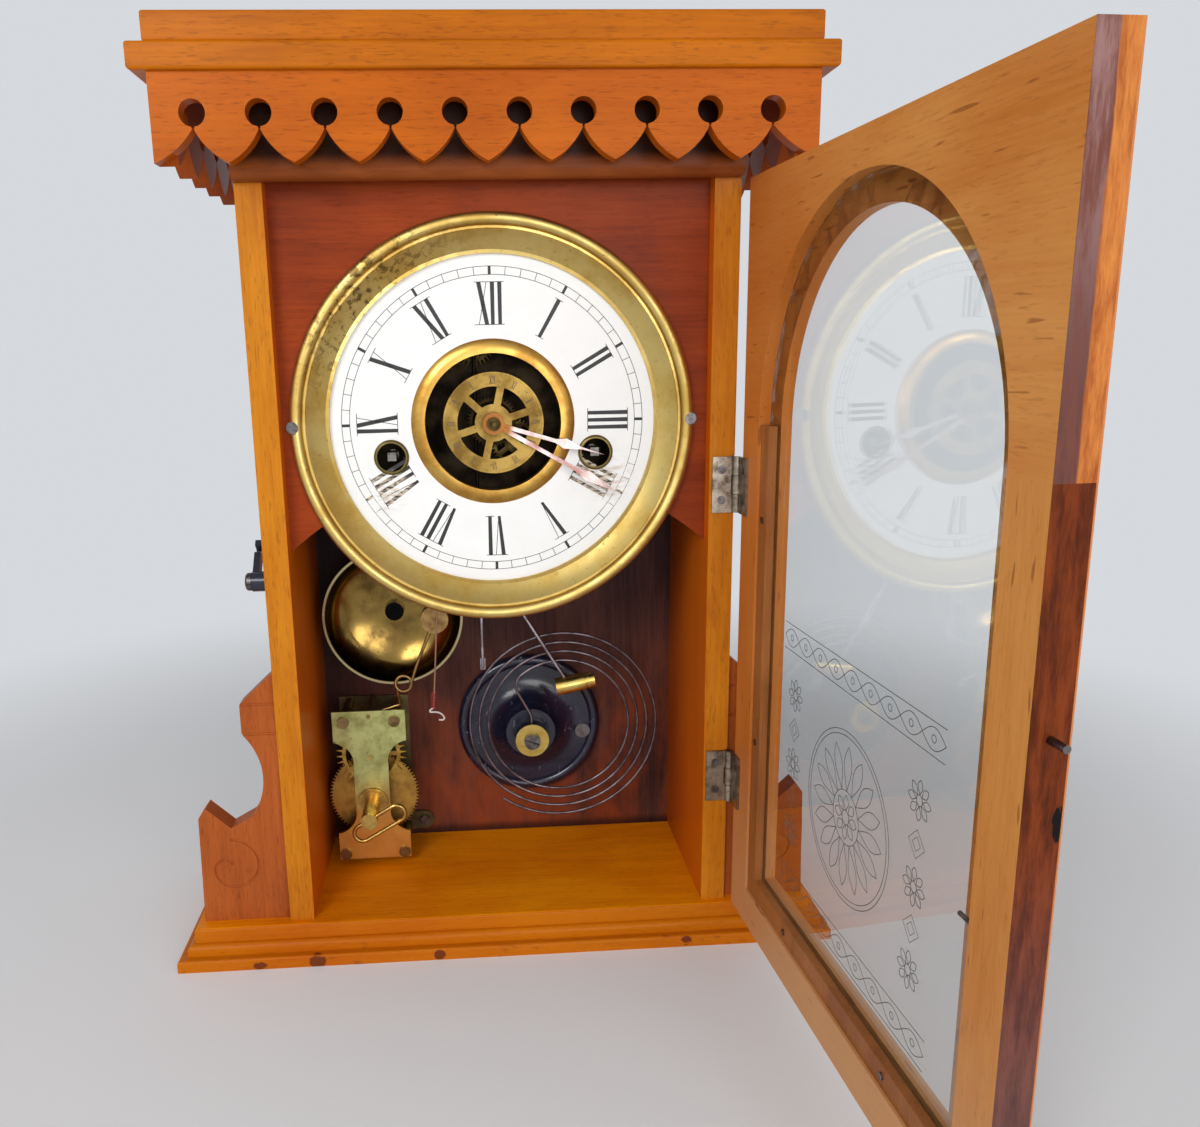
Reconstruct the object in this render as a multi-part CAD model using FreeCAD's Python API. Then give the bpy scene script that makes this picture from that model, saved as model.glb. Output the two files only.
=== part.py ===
import FreeCAD, Part
import math
import os

V = FreeCAD.Vector
ALONG_X = V(1, 0, 0)
ALONG_Y = V(0, 1, 0)
ALONG_Z = V(0, 0, 1)

# Clearances
RUNNING_CLEARANCE = 0.06
HOLE_CLEARANCE = 0.05
GLASS_CLEARANCE = 0.3
BEZEL_CLEARANCE = 0.6
EDGE_TOLERANCE = 0.01

# Case boards
SIDE_THICKNESS = 9.9
CASE_DEPTH = 73.0
BACK_THICKNESS = 6.0
RAIL_HEIGHT = 31.8
RAIL_THICKNESS = 6.0
RAIL_ROUNDING = 4.0
BASE_HEIGHT = 15.7
BASE_SIDE_OVERHANG = 45.4
BASE_FRONT_OVERHANG = 10.2
BASE_LIP_HEIGHT = 5.0
BASE_BEAD_HEIGHT = 4.6
BASE_BEAD_INSET = 3.6
BASE_TOP_INSET = 6.4
BASE_ROUNDING = 2.2
CORNICE_THICKNESS = 8.8
CORNICE_SIDE_OVERHANG = 26.9
CORNICE_FRONT_OVERHANG = 23.5
CAP_THICKNESS = 10.0
CAP_SIDE_INSET = 5.1
CAP_FRONT_INSET = 2.9
SLAB_ROUNDING = 1.2

# Valance
VALANCE_THICKNESS = 6.5
VALANCE_SIDE_INSET = 5.7
VALANCE_FRONT_INSET = 2.2
VALANCE_DROP = 28.7
TOOTH_PITCH = 21.85
TOOTH_BULGE = 1.0
TOOTH_SHIFT = -1.4
HOLE_RADIUS = 4.4
HOLE_DROP = 12.9
SLIT_WIDTH = 0.9
SLIT_LENGTH = 0.3
VALANCE_END_MARGIN = 5.0

# Brackets
BRACKET_SETBACK = 2.5
BRACKET_THICKNESS = 9.0
BRACKET_WIDTH = 35.9
BRACKET_HEIGHT = 108.6
SHOULDER_OUT = 14.4
SHOULDER_HEIGHT = 95.3
SHOULDER_DEPTH = 12.6
HOLLOW_OUT = 7.2
HOLLOW_HEIGHT = 63.5
LEDGE_OUT = 12.8
LEDGE_HEIGHT = 46.8
NOTCH_OUT = 21.9
NOTCH_HEIGHT = 41.8
EAR_OUT = 31.7
EAR_HEIGHT = 51.0
EAR_SLOPE = 4.4
EAR_BATTER = 1.0
GROOVE_RADIUS = 0.6
SCROLL_OUT = 22.7
SCROLL_HEIGHT = 36.6
SCROLL_RADII = (11.0, 10.2, 7.8, 4.6, 2.3)

# Dial
DIAL_OFFSET = -1.3
BEZEL_RADIUS = 78.0
BEZEL_SIDE_MARGIN = 4.4
BEZEL_TOP_MARGIN = 9.9
BEZEL_HEIGHT = 4.4
BEZEL_ROLL = 2.5
BEZEL_BAND_DROP = 1.0
BEZEL_LIP = 1.2
BEZEL_LIP_WIDTH = 1.4
BEZEL_LIP_RISE = 0.3
BEZEL_GROOVE = 0.9
BEZEL_GROOVE_SLOPE = 0.5
BEZEL_HOLLOW = 0.3
BEZEL_BAND_WIDTH = 14.6
BOARD_SETBACK = 7.0
BOARD_THICKNESS = 5.0
BOARD_HOLE_MARGIN = 6.2
BOARD_CORNER_DROP = 48.8
BOARD_ARCH_RISE = 31.0
DIAL_SEAT = 3.0
DIAL_THICKNESS = 0.8
DIAL_MARGIN = 4.6
RING_RADIUS = 32.0
RING_OPENING_RADIUS = 26.6
RING_HEIGHT = 1.5
RING_WALL = 0.7
RING_TAIL = 2.6
RING_CROWN = 0.8
GROMMET_RADIUS = 6.9
GROMMET_BORE_RADIUS = 5.6
GROMMET_HEIGHT = 1.0
GROMMET_WALL = 0.5
GROMMET_TAIL = 0.4
BEZEL_SCREW_INSET = 1.0

# Hands and alarm disc, heights in front of the dial face
HAND_THICKNESS = 0.7
HOUR_HAND_INSET = 18.4
HOUR_HAND_ANGLE = -17.0
HOUR_HAND_GAP = 1.7
HOUR_LEAF_LENGTH = 11.0
HOUR_POINT_LENGTH = 9.0
HOUR_LEAF_WIDTH = 4.0
MINUTE_HAND_INSET = 7.8
MINUTE_HAND_ANGLE = -30.2
MINUTE_HAND_GAP = 1.9
MINUTE_LEAF_LENGTH = 15.0
MINUTE_POINT_LENGTH = 4.0
MINUTE_LEAF_WIDTH = 4.0
HAND_STEM_WIDTH = 1.8
HAND_HUB_RADIUS = 4.2
HAND_POINT_WIDTH = 0.8
LEAF_SWELL = 0.36
STEM_TAPER = 0.8
COLLET_GAP = 0.3
ALARM_DISC_RADIUS = 19.5
ALARM_DISC_BAND = 5.5
ALARM_DISC_HUB = 7.2
ALARM_DISC_SPOKE = 2.8
ALARM_DISC_TURN = 17.0
ALARM_DISC_SPOKE_COUNT = 6
ALARM_DISC_RIM = 0.9
ALARM_DISC_RIM_HEIGHT = 0.5
ALARM_DISC_LIFT = 2.8
ALARM_DISC_THICKNESS = 0.8
ARBOR_TIP = 2.9
COLLET_RADIUS = 2.6
COLLET_THICKNESS = 1.6

# Movement frame
PLATE_GAP = 14.0
PLATE_THICKNESS = 2.0
PLATE_SPACING = 31.0
PLATE_DROP = 45.0
PLATE_RISE = 48.0
PLATE_HALF_WIDTH = 56.0
PILLAR_RADIUS = 3.0
PILLAR_STUD_RADIUS = 1.5
PILLAR_NUT_HEIGHT = 1.6
PILLAR_INSET = 5.0
UPPER_PILLAR_INSET = 10.0
UPPER_PILLAR_DROP = 6.0

# Wheels of the movement
WHEEL_THICKNESS = 1.2
WHEEL_SPOKE_COUNT = 5
SPOKE_WIDTH = 2.0
RIM_IN_MODULES = 3.2
TIP_IN_MODULES = 0.95
ROOT_IN_MODULES = 1.2
TIP_SHARE = 0.08
ROOT_SHARE = 0.27
POINT_SHARE = 0.45
BAR_SHARE = 0.21
ARBOR_RADIUS = 0.9
ARBOR_TAIL = 0.5
MAIN_TEETH = 64
MAIN_MODULE = 0.7
SECOND_PINION_TEETH = 12
SECOND_TEETH = 48
SECOND_MODULE = 0.6
CENTRE_PINION_TEETH = 12
CENTRE_TEETH = 64
CENTRE_MODULE = 0.5
THIRD_PINION_TEETH = 8
THIRD_TEETH = 60
THIRD_MODULE = 0.45
ESCAPE_PINION_TEETH = 8
FLY_PINION_TEETH = 8
CANNON_PINION_TEETH = 12
MOTION_TEETH = 36
MOTION_MODULE = 0.5
MOTION_PINION_TEETH = 10
HOUR_TEETH = 40
HOUR_MODULE = 0.48
SECOND_BEARING = 5.8
MAIN_BEARING = -33.1
THIRD_BEARING = 122.3
ESCAPE_BEARING = 79.4
STRIKE_SECOND_BEARING = 58.0
FLY_BEARING = 110.0
MOTION_BEARING = -45.0
THIRD_LAYER = 2.5
CENTRE_LAYER = 6.5
SECOND_LAYER = 11.0
MAIN_LAYER = 16.4
PINION_LENGTH = 3.6
SHROUD_THICKNESS = 0.6
SHROUD_MARGIN = 0.5
ESCAPE_RADIUS = 9.0
ESCAPE_TEETH = 30
ESCAPE_TOOTH_DEPTH = 2.0
ESCAPE_TOOTH_LEAN = 0.1
ESCAPE_RIM = 3.4
ESCAPE_HUB = 2.2
ESCAPE_SPOKE = 1.2
ESCAPE_THICKNESS = 1.0
ESCAPE_PLATE_GAP = 2.0
MOTION_ROD_GAP = 1.5
HOUR_MOTION_GAP = 1.2
PIPE_WALL = 0.8
PIPE_END_GAP = 1.2
PINION_MARGIN = 0.5
MOTION_POST_RADIUS = 1.0
WHEEL_HUB = 3.0
HOUR_HUB = 4.6
MOTION_HUB = 4.0
WINDING_RADIUS = 2.2
WINDING_SQUARE = 3.4
WINDING_TIP_GAP = 1.4
RATCHET_RADIUS = 7.4
RATCHET_TEETH = 16
RATCHET_GAP = 0.5
RATCHET_DEPTH = 1.0
RATCHET_THICKNESS = 1.4
CLICK_RADIUS = 0.9
WINDING_COLLAR = 1.4
WINDING_SHOULDER = 3.0
SPRING_GAP = 1.6
SPRING_WIDTH = 9.5
SPRING_THICKNESS = 0.5
SPRING_TURN_COUNT = 5
SPRING_RADIUS = 18.5
SPRING_ARBOR_GAP = 0.3
FLY_HALF_SPAN = 9.0
FLY_LENGTH = 9.0
FLY_THICKNESS = 0.5
FLY_HUB_RADIUS = 1.6
FLY_PLATE_GAP = 1.0

# Pallets, crutch and pendulum
VERGE_RISE = 13.4
VERGE_RADIUS = 0.8
VERGE_HUB_RADIUS = 2.0
ANCHOR_ELBOW_OUT = 0.9
ANCHOR_ELBOW_DROP = 0.4
PALLET_ANGLE = 50.0
PALLET_GAP = 1.4
ANCHOR_WIDTH = 1.6
ANCHOR_ELBOW_RADIUS = 0.9
CRUTCH_LENGTH = 24.0
CRUTCH_RADIUS = 0.35
CRUTCH_GAP = 0.4
FORK_HALF_WIDTH = 1.6
FORK_RADIUS = 0.5
FORK_BAR_WIDTH = 0.6
PIVOT_RISE = 8.4
ROD_RADIUS = 0.7
ROD_LENGTH = 156.0
ROD_HOOK_WIDTH = 2.2
ROD_HOOK_LENGTH = 5.0
STRIP_THICKNESS = 0.3
STRIP_WIDTH = 1.6
STRIP_LENGTH = 8.0
STRIP_LAP = 1.0
STUD_SIZE = 4.0
STUD_GAP = 0.4
STUD_LAP = 1.0

# Bell
BELL_RADIUS = 30.8
BELL_WALL_GAP = 4.7
BELL_DEPTH = 14.6
BELL_THICKNESS = 1.0
BELL_FLAT_RADIUS = 4.6
BELL_DOME_CURVE = 44.0
BELL_RIM = 0.3
BELL_RIM_HEIGHT = 1.2
BELL_NECK = 2.0
BELL_SHOULDER = 8.8
BELL_STUD_TIP = 1.0
BELL_POST_LENGTH = 14.0
BELL_POST_RADIUS = 3.4
BELL_STUD_RADIUS = 1.8
BELL_NUT_RADIUS = 4.2
BELL_NUT_HEIGHT = 3.4
BELL_MOVEMENT_GAP = 11.0
ALARM_BELL_GAP = 12.2

# Gong
COIL_SHARE = 0.5546
COIL_PITCH = 4.27
COIL_QUARTER_COUNT = 15
COIL_START_ANGLE = 233.5
COIL_WIRE_RADIUS = 0.6
COIL_WALL_GAP = 9.2
COIL_FLOOR_GAP = 18.1
COIL_STANDOFF = 23.0
GONG_AXIS_SHARE = 0.2976
GONG_AXIS_DROP = 7.3
GONG_SHARE = 0.744
GONG_RIM_HEIGHT = 3.4
GONG_RIM_CROWN = 0.8
GONG_RIM_WIDTH = 2.0
GONG_CONE_FLARE = 2.4
GONG_RIM_SPAN = 10.0
GONG_DISH_HEIGHT = 2.6
GONG_CONE_RADIUS = 11.5
GONG_CONE_HEIGHT = 15.0
GONG_BOSS_RADIUS = 8.4
GONG_BLOCK = 10.0
GONG_BLOCK_THICKNESS = 3.2
COIL_CURL_ANGLE = 35.0
CURL_REACH = 7.4
CURL_RADIUS = 7.0
CURL_EASE = 9.0
CURL_STRAIGHT = 6.2
WASHER_RADIUS = 7.7
WASHER_THICKNESS = 1.0
GONG_SCREW_RADIUS = 3.7
GONG_SCREW_HEIGHT = 2.2
MOUNT_SCREW_RADIUS = 3.6
MOUNT_SCREW_INSET = 8.0
MOUNT_SCREW_ANGLE = -10.0

# Gong hammer
HAMMER_ARBOR_DROP = 38.0
HAMMER_ARM_RADIUS = 0.8
HAMMER_PLANE_GAP = 2.9
HAMMER_HEAD_RADIUS = 4.0
HAMMER_HEAD_LENGTH = 17.8
HAMMER_HEAD_TILT = 10.4
HAMMER_HEAD_RIGHT = 6.4
HAMMER_HEAD_INSET = 25.7
HAMMER_GROOVE = 0.6
HAMMER_TIP = 2.6
HAMMER_BEND_RIGHT = 9.6
HAMMER_BEND_DROP = 84.0
HAMMER_ENTRY = 2.9
HAMMER_HUB_RADIUS = 2.2
HAMMER_TAIL_LENGTH = 9.0
HAMMER_TAIL_ANGLE = 150.0
HAMMER_TAIL_WIDTH = 1.4

# Alarm movement
ALARM_FLOOR_GAP = 3.2
ALARM_PLATE_HEIGHT = 72.1
ALARM_PLATE_WIDTH = 32.8
ALARM_PLATE_THICKNESS = 1.2
ALARM_HEAD_HEIGHT = 14.6
ALARM_FOOT_HEIGHT = 13.0
ALARM_WAIST_WIDTH = 15.6
ALARM_WAIST_SLOPE = 11.0
ALARM_DEPTH = 29.0
ALARM_WHEEL_GAP = 2.2
ALARM_MAIN_TEETH = 76
ALARM_MODULE = 0.53
ALARM_PINION_TEETH = 7
ALARM_ARBOR_RISE = 27.9
ALARM_ARBOR_RADIUS = 1.8
ALARM_MAIN_LAYER = 8.0
ALARM_ESCAPE_LAYER = 2.6
ALARM_ESCAPE_RADIUS = 16.2
ALARM_ESCAPE_TEETH = 32
ALARM_TOOTH_DEPTH = 3.0
ALARM_TOOTH_LEAN = 0.2
ALARM_ESCAPE_RIM = 4.6
ALARM_SLEEVE_RADIUS = 4.0
ALARM_SPRING_RADIUS = 13.0
ALARM_SPRING_WIDTH = 8.0
ALARM_SPRING_GAP = 2.0
ALARM_VERGE_DROP = 2.8
ALARM_PALLET_ANGLE = 24.0
ALARM_PILLAR_RADIUS = 2.2
ALARM_PILLAR_INSET = 5.0
ALARM_FOOT_PILLAR_INSET = 2.9
ALARM_NUT_RADIUS = 2.6
ALARM_NUT_HEIGHT = 1.3
ALARM_STRIP_DROP = 2.5
ALARM_STRIP_HEIGHT = 7.1
ALARM_EAR_OUT = 11.0
ALARM_EAR_RADIUS = 4.6
ALARM_SCREW_RADIUS = 2.6

# Alarm winding stud and its loop
KEY_TIP_LENGTH = 20.0
KEY_STUD_RADIUS = 3.6
KEY_COLLAR_RADIUS = 7.0
KEY_COLLAR_THICKNESS = 1.5
KEY_COLLAR_GAP = 0.5
KEY_LOOP_LENGTH = 25.0
KEY_LOOP_WIDTH = 7.6
KEY_LOOP_TILT = 30.0
KEY_LOOP_SHIFT = 2.8
KEY_LOOP_RADIUS = 0.9
KEY_LOOP_SETBACK = 2.4

# Alarm hammer
BELL_HAMMER_RADIUS = 6.1
BELL_HAMMER_THICKNESS = 7.0
BELL_HAMMER_OUT = 18.3
BELL_HAMMER_DROP = 1.1
BELL_HAMMER_WIRE = 0.75
BELL_HAMMER_RIM_GAP = 1.6
BELL_HAMMER_ELBOW_OUT = 14.3
BELL_HAMMER_ELBOW_RISE = 4.3
BELL_HAMMER_LOOP_RADIUS = 3.6
BELL_HAMMER_LOOP_OUT = 16.6
BELL_HAMMER_LOOP_RISE = 15.6
BELL_HAMMER_KNEE_OUT = 22.6
BELL_HAMMER_KNEE_RISE = 23.6
BELL_HAMMER_ARM_GAP = 2.0
BELL_HAMMER_COVER = 0.4

# Alarm cord
CORD_RADIUS = 0.35
CORD_KNOT_RADIUS = 1.5
CORD_KNOT_LAP = 0.8
CORD_PEG_RADIUS = 1.1
CORD_EAR_HALF = 2.0
CORD_ROUTE = (
    (-25.9, -0.3, 173.4),
    (-26.6, -0.2, 146.0),
    (-28.4, -0.4, 119.0),
    (-30.0, -0.3, 96.5),
)

# Door
DOOR_THICKNESS = 10.2
DOOR_OVERHANG = 2.3
DOOR_FLOOR_GAP = 1.0
DOOR_RAIL_GAP = 0.8
DOOR_STILE_WIDTH = 16.0
DOOR_BOTTOM_HEIGHT = 15.0
DOOR_HEAD_MARGIN = 12.0
DOOR_LIP_WIDTH = 9.3
DOOR_LIP_THICKNESS = 4.0
DOOR_OPEN_ANGLE = 94.2
GLASS_THICKNESS = 2.0
BEAD_WIDTH = 7.6
BEAD_THICKNESS = 3.2
BEAD_NAIL_RADIUS = 1.2
BEAD_NAIL_HEIGHT = 0.5
BEAD_NAIL_SHANK = 0.5
BEAD_NAIL_DROP = 35.0
BEAD_NAIL_RISE = 65.0
BRAD_RADIUS = 0.7
BRAD_GAP = 0.3
BRAD_LENGTH = 9.0
BRAD_DEPTH = 5.0
BRAD_RISE = 75.0
CATCH_DROP = 56.3
CATCH_RADIUS = 1.0
CATCH_LENGTH = 5.6
CATCH_DEPTH = 8.0

# Hinges
HINGE_LENGTH = 22.0
HINGE_LEAF_WIDTH = 9.6
HINGE_LEAF_THICKNESS = 1.0
HINGE_LEAF_GAP = 0.4
HINGE_BARREL_RADIUS = 1.9
HINGE_PIN_RADIUS = 1.0
HINGE_AXIS_OUT = 0.7
HINGE_DOOR_INSET = 3.1
HINGE_KNUCKLE_GAP = 0.3
HINGE_TOP_DROP = 24.5
HINGE_BOTTOM_RISE = 56.2
HINGE_SCREW_RADIUS = 1.7
HINGE_SCREW_HEIGHT = 0.4
HINGE_SCREW_SPACING = 12.0
HINGE_SCREW_INSET = 1.0

# Latch
LATCH_SETBACK = 6.0
LATCH_DROP = 2.4
LATCH_HUB_RADIUS = 4.0
LATCH_STANDOFF = 3.0
LATCH_THICKNESS = 2.6
LATCH_ARM_WIDTH = 4.6
LATCH_REST_ANGLE = 48.0
LATCH_HOOK_GAP = 0.5
LATCH_TIP = 2.6
LATCH_SCREW_RADIUS = 3.6
LATCH_SCREW_HEIGHT = 2.4
LATCH_SHANK_RADIUS = 1.5
LATCH_WASHER_GAP = 0.3
LATCH_SCREW_COVER = 1.0

# Small screws
SCREW_SHANK_RADIUS = 0.9
SCREW_SHANK_LENGTH = 3.0
SCREW_HEAD_RADIUS = 2.4
SCREW_HEAD_HEIGHT = 1.8
SCREW_SLOT = 0.6
SCREW_POCKET_CLEARANCE = 0.15

# Heights, each stacked on the one below
base_top = BASE_HEIGHT
alarm_bottom = base_top + ALARM_FLOOR_GAP
alarm_top = alarm_bottom + ALARM_PLATE_HEIGHT
bell_z = alarm_top + ALARM_BELL_GAP + BELL_RADIUS
plate_bottom = bell_z + BELL_RADIUS + BELL_MOVEMENT_GAP
dial_z = plate_bottom + PLATE_DROP
plate_top = dial_z + PLATE_RISE
rail_bottom = dial_z + BEZEL_RADIUS + BEZEL_TOP_MARGIN
case_top = rail_bottom + RAIL_HEIGHT
cornice_top = case_top + CORNICE_THICKNESS
cap_top = cornice_top + CAP_THICKNESS

# Widths from the middle of the case
dial_x = DIAL_OFFSET
sight_radius = BEZEL_RADIUS - BEZEL_BAND_WIDTH
minute_hand_length = sight_radius - MINUTE_HAND_INSET
hour_hand_length = sight_radius - HOUR_HAND_INSET
inner_half = BEZEL_RADIUS + BEZEL_SIDE_MARGIN
case_half = inner_half + SIDE_THICKNESS
base_half = case_half + BASE_SIDE_OVERHANG
cornice_half = case_half + CORNICE_SIDE_OVERHANG
cap_half = cornice_half - CAP_SIDE_INSET
valance_half = cornice_half - VALANCE_SIDE_INSET

# Depths, with the middle of the base at zero
base_depth = BASE_FRONT_OVERHANG + CASE_DEPTH + BACK_THICKNESS
base_front = -base_depth / 2
front = base_front + BASE_FRONT_OVERHANG
wall = front + CASE_DEPTH
rear = wall + BACK_THICKNESS
cornice_front = front - CORNICE_FRONT_OVERHANG
cap_front = cornice_front + CAP_FRONT_INSET
valance_front_y = cornice_front + VALANCE_FRONT_INSET
board_front = front + BOARD_SETBACK
dial_front = board_front + DIAL_SEAT
dial_back = dial_front + DIAL_THICKNESS
plate_front = dial_front + PLATE_GAP
plate_inside = plate_front + PLATE_THICKNESS
back_plate_inside = plate_inside + PLATE_SPACING
back_plate_rear = back_plate_inside + PLATE_THICKNESS
alarm_disc_back = dial_front - ALARM_DISC_LIFT
alarm_disc_front = alarm_disc_back - ALARM_DISC_THICKNESS
hour_hand_back = alarm_disc_front - HOUR_HAND_GAP
hour_hand_front = hour_hand_back - HAND_THICKNESS
minute_hand_back = hour_hand_front - MINUTE_HAND_GAP
minute_hand_front = minute_hand_back - HAND_THICKNESS

# Layers of the motion work and the escapement, counted forward from the front plate
escape_back = plate_front - ESCAPE_PLATE_GAP
escape_front = escape_back - ESCAPE_THICKNESS
crutch_y = escape_front - CRUTCH_GAP - CRUTCH_RADIUS
rod_y = crutch_y - CRUTCH_RADIUS - CRUTCH_GAP - ROD_RADIUS
motion_back = rod_y - ROD_RADIUS - MOTION_ROD_GAP
motion_front = motion_back - WHEEL_THICKNESS
hour_wheel_back = motion_front - HOUR_MOTION_GAP
hour_wheel_front = hour_wheel_back - WHEEL_THICKNESS

# Bell, gong and alarm movement
bell_x = -inner_half + BELL_WALL_GAP + BELL_RADIUS
bell_back = wall - BELL_POST_LENGTH
bell_rim = bell_back - BELL_DEPTH
coil_radius = COIL_SHARE * inner_half
gong_radius = GONG_SHARE * coil_radius
gong_dish_radius = gong_radius - GONG_RIM_SPAN
coil_x = inner_half - COIL_WALL_GAP - coil_radius
coil_z = base_top + COIL_FLOOR_GAP + coil_radius
coil_y = wall - COIL_STANDOFF
gong_x = coil_x - GONG_AXIS_SHARE * coil_radius
gong_z = coil_z - GONG_AXIS_DROP
block_front = coil_y - GONG_BLOCK_THICKNESS / 2
block_back = coil_y + GONG_BLOCK_THICKNESS / 2
washer_front = block_front - WASHER_THICKNESS
hammer_y = coil_y - HAMMER_PLANE_GAP
alarm_front = wall - ALARM_DEPTH
alarm_inside = alarm_front + ALARM_PLATE_THICKNESS
alarm_back = wall - ALARM_PLATE_THICKNESS
alarm_main_radius = ALARM_MAIN_TEETH * ALARM_MODULE / 2
alarm_x = -inner_half + ALARM_WHEEL_GAP + alarm_main_radius
alarm_main = (alarm_x, alarm_bottom + ALARM_ARBOR_RISE)
alarm_pitch = (ALARM_MAIN_TEETH + ALARM_PINION_TEETH) * ALARM_MODULE / 2
alarm_escape = (alarm_x, alarm_main[1] + alarm_pitch)
alarm_verge = (alarm_x, alarm_top - ALARM_VERGE_DROP)
alarm_main_y = alarm_inside + ALARM_MAIN_LAYER
alarm_escape_y = alarm_inside + ALARM_ESCAPE_LAYER

# Door in its closed place, and its hinge line
hinge_x = case_half + HINGE_AXIS_OUT
hinge_y = front - HINGE_LEAF_THICKNESS - HINGE_LEAF_GAP / 2
door_inner = front - 2 * HINGE_LEAF_THICKNESS - HINGE_LEAF_GAP
door_outer = door_inner - DOOR_THICKNESS
door_lip_y = door_outer + DOOR_LIP_THICKNESS
door_right = hinge_x - HINGE_DOOR_INSET
door_left = -case_half - DOOR_OVERHANG
door_bottom = base_top + DOOR_FLOOR_GAP
door_top = rail_bottom - DOOR_RAIL_GAP
door_middle = (door_left + door_right) / 2
door_opening = (door_right - door_left) / 2 - DOOR_STILE_WIDTH
door_sight = door_opening - DOOR_LIP_WIDTH
door_spring = door_top - DOOR_HEAD_MARGIN - door_opening
door_sill = door_bottom + DOOR_BOTTOM_HEIGHT
glass_back = door_lip_y + GLASS_THICKNESS
catch_z = door_spring - CATCH_DROP
catch_y = door_outer + DOOR_THICKNESS / 2
hinge_heights = (door_spring - HINGE_TOP_DROP, door_bottom + HINGE_BOTTOM_RISE)
latch_y = front + LATCH_SETBACK
latch_z = catch_z - LATCH_DROP
latch_screw_end = -inner_half - LATCH_SCREW_COVER


def polar(centre, radius, degrees):
    """Point at a distance and bearing from a centre, seen from the front."""
    turn = math.radians(degrees)
    return (centre[0] + radius * math.cos(turn), centre[1] + radius * math.sin(turn))


def bearing(start, end):
    """Direction in degrees from one point to another, seen from the front."""
    return math.degrees(math.atan2(end[1] - start[1], end[0] - start[0]))


# Arbor centres of the movement
centre = (dial_x, dial_z)
second_distance = (SECOND_TEETH + CENTRE_PINION_TEETH) * SECOND_MODULE / 2
main_distance = (MAIN_TEETH + SECOND_PINION_TEETH) * MAIN_MODULE / 2
third_distance = (CENTRE_TEETH + THIRD_PINION_TEETH) * CENTRE_MODULE / 2
escape_distance = (THIRD_TEETH + ESCAPE_PINION_TEETH) * THIRD_MODULE / 2
fly_distance = (SECOND_TEETH + FLY_PINION_TEETH) * SECOND_MODULE / 2
motion_distance = (MOTION_TEETH + CANNON_PINION_TEETH) * MOTION_MODULE / 2
time_second = polar(centre, second_distance, SECOND_BEARING)
time_main = polar(time_second, main_distance, MAIN_BEARING)
third = polar(centre, third_distance, THIRD_BEARING)
escape = polar(third, escape_distance, ESCAPE_BEARING)
strike_main = (2 * dial_x - time_main[0], time_main[1])
strike_second = polar(strike_main, main_distance, STRIKE_SECOND_BEARING)
fly = polar(strike_second, fly_distance, FLY_BEARING)
motion = polar(centre, motion_distance, MOTION_BEARING)
verge = (escape[0], escape[1] + VERGE_RISE)
pendulum_pivot = (escape[0], verge[1] + PIVOT_RISE)
hammer_arbor = (dial_x, dial_z - HAMMER_ARBOR_DROP)
hammer_head = (coil_x + HAMMER_HEAD_RIGHT, coil_z + coil_radius - HAMMER_HEAD_INSET)
third_layer = plate_inside + THIRD_LAYER
centre_layer = plate_inside + CENTRE_LAYER
second_layer = plate_inside + SECOND_LAYER
main_layer = plate_inside + MAIN_LAYER
spring_front = main_layer + WHEEL_THICKNESS + SPRING_GAP


def box(x0, x1, y0, y1, z0, z1):
    """Box between two limits along each axis."""
    return Part.makeBox(x1 - x0, y1 - y0, z1 - z0, V(x0, y0, z0))


def rod_along_y(place, radius, y0, y1):
    """Round bar from front to back at a place seen from the front."""
    return Part.makeCylinder(radius, y1 - y0, V(place[0], y0, place[1]), ALONG_Y)


def rod_along_x(y, z, radius, x0, x1):
    """Round bar from left to right."""
    return Part.makeCylinder(radius, x1 - x0, V(x0, y, z), ALONG_X)


def rod_between(start, end, radius):
    """Round bar between two points in space."""
    reach = V(*end) - V(*start)
    return Part.makeCylinder(radius, reach.Length, V(*start), reach)


def tube_along_y(place, outer, inner, y0, y1):
    """Round tube from front to back."""
    return rod_along_y(place, outer, y0, y1).cut(rod_along_y(place, inner, y0, y1))


def join(shapes):
    """One solid from overlapping or touching shapes."""
    return shapes[0].multiFuse(shapes[1:]).removeSplitter()


def bent_rod(points, radius):
    """Round bar through points in space, with rounded elbows."""
    pieces = [rod_between(a, b, radius) for a, b in zip(points, points[1:])]
    pieces += [Part.makeSphere(radius, V(*point)) for point in points[1:-1]]
    return join(pieces)


def bar(start, end, width, y0, y1):
    """Flat bar of a set width along a line seen from the front."""
    length = math.dist(start, end)
    flat = Part.makeBox(length, y1 - y0, width, V(0, y0, -width / 2))
    flat.rotate(V(0, 0, 0), V(0, -1, 0), bearing(start, end))
    flat.translate(V(start[0], 0, start[1]))
    return flat


def outline(start, steps, y):
    """Closed wire seen from the front; a step is an end point, or an arc's middle and end point."""
    edges = []
    here = V(start[0], y, start[1])
    for step in steps:
        points = [V(x, y, z) for x, z in step]
        if len(points) == 1:
            edges.append(Part.LineSegment(here, points[0]).toShape())
        else:
            edges.append(Part.Arc(here, points[0], points[1]).toShape())
        here = points[-1]
    return Part.Wire(edges)


def circle(place, radius, y):
    """Round wire seen from the front."""
    return Part.Wire(Part.makeCircle(radius, V(place[0], y, place[1]), ALONG_Y))


def slab(wires, y0, y1):
    """Plate cut to wires that lie at its front face."""
    face = Part.makeFace(wires, "Part::FaceMakerBullseye")
    return face.extrude(V(0, y1 - y0, 0))


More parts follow.
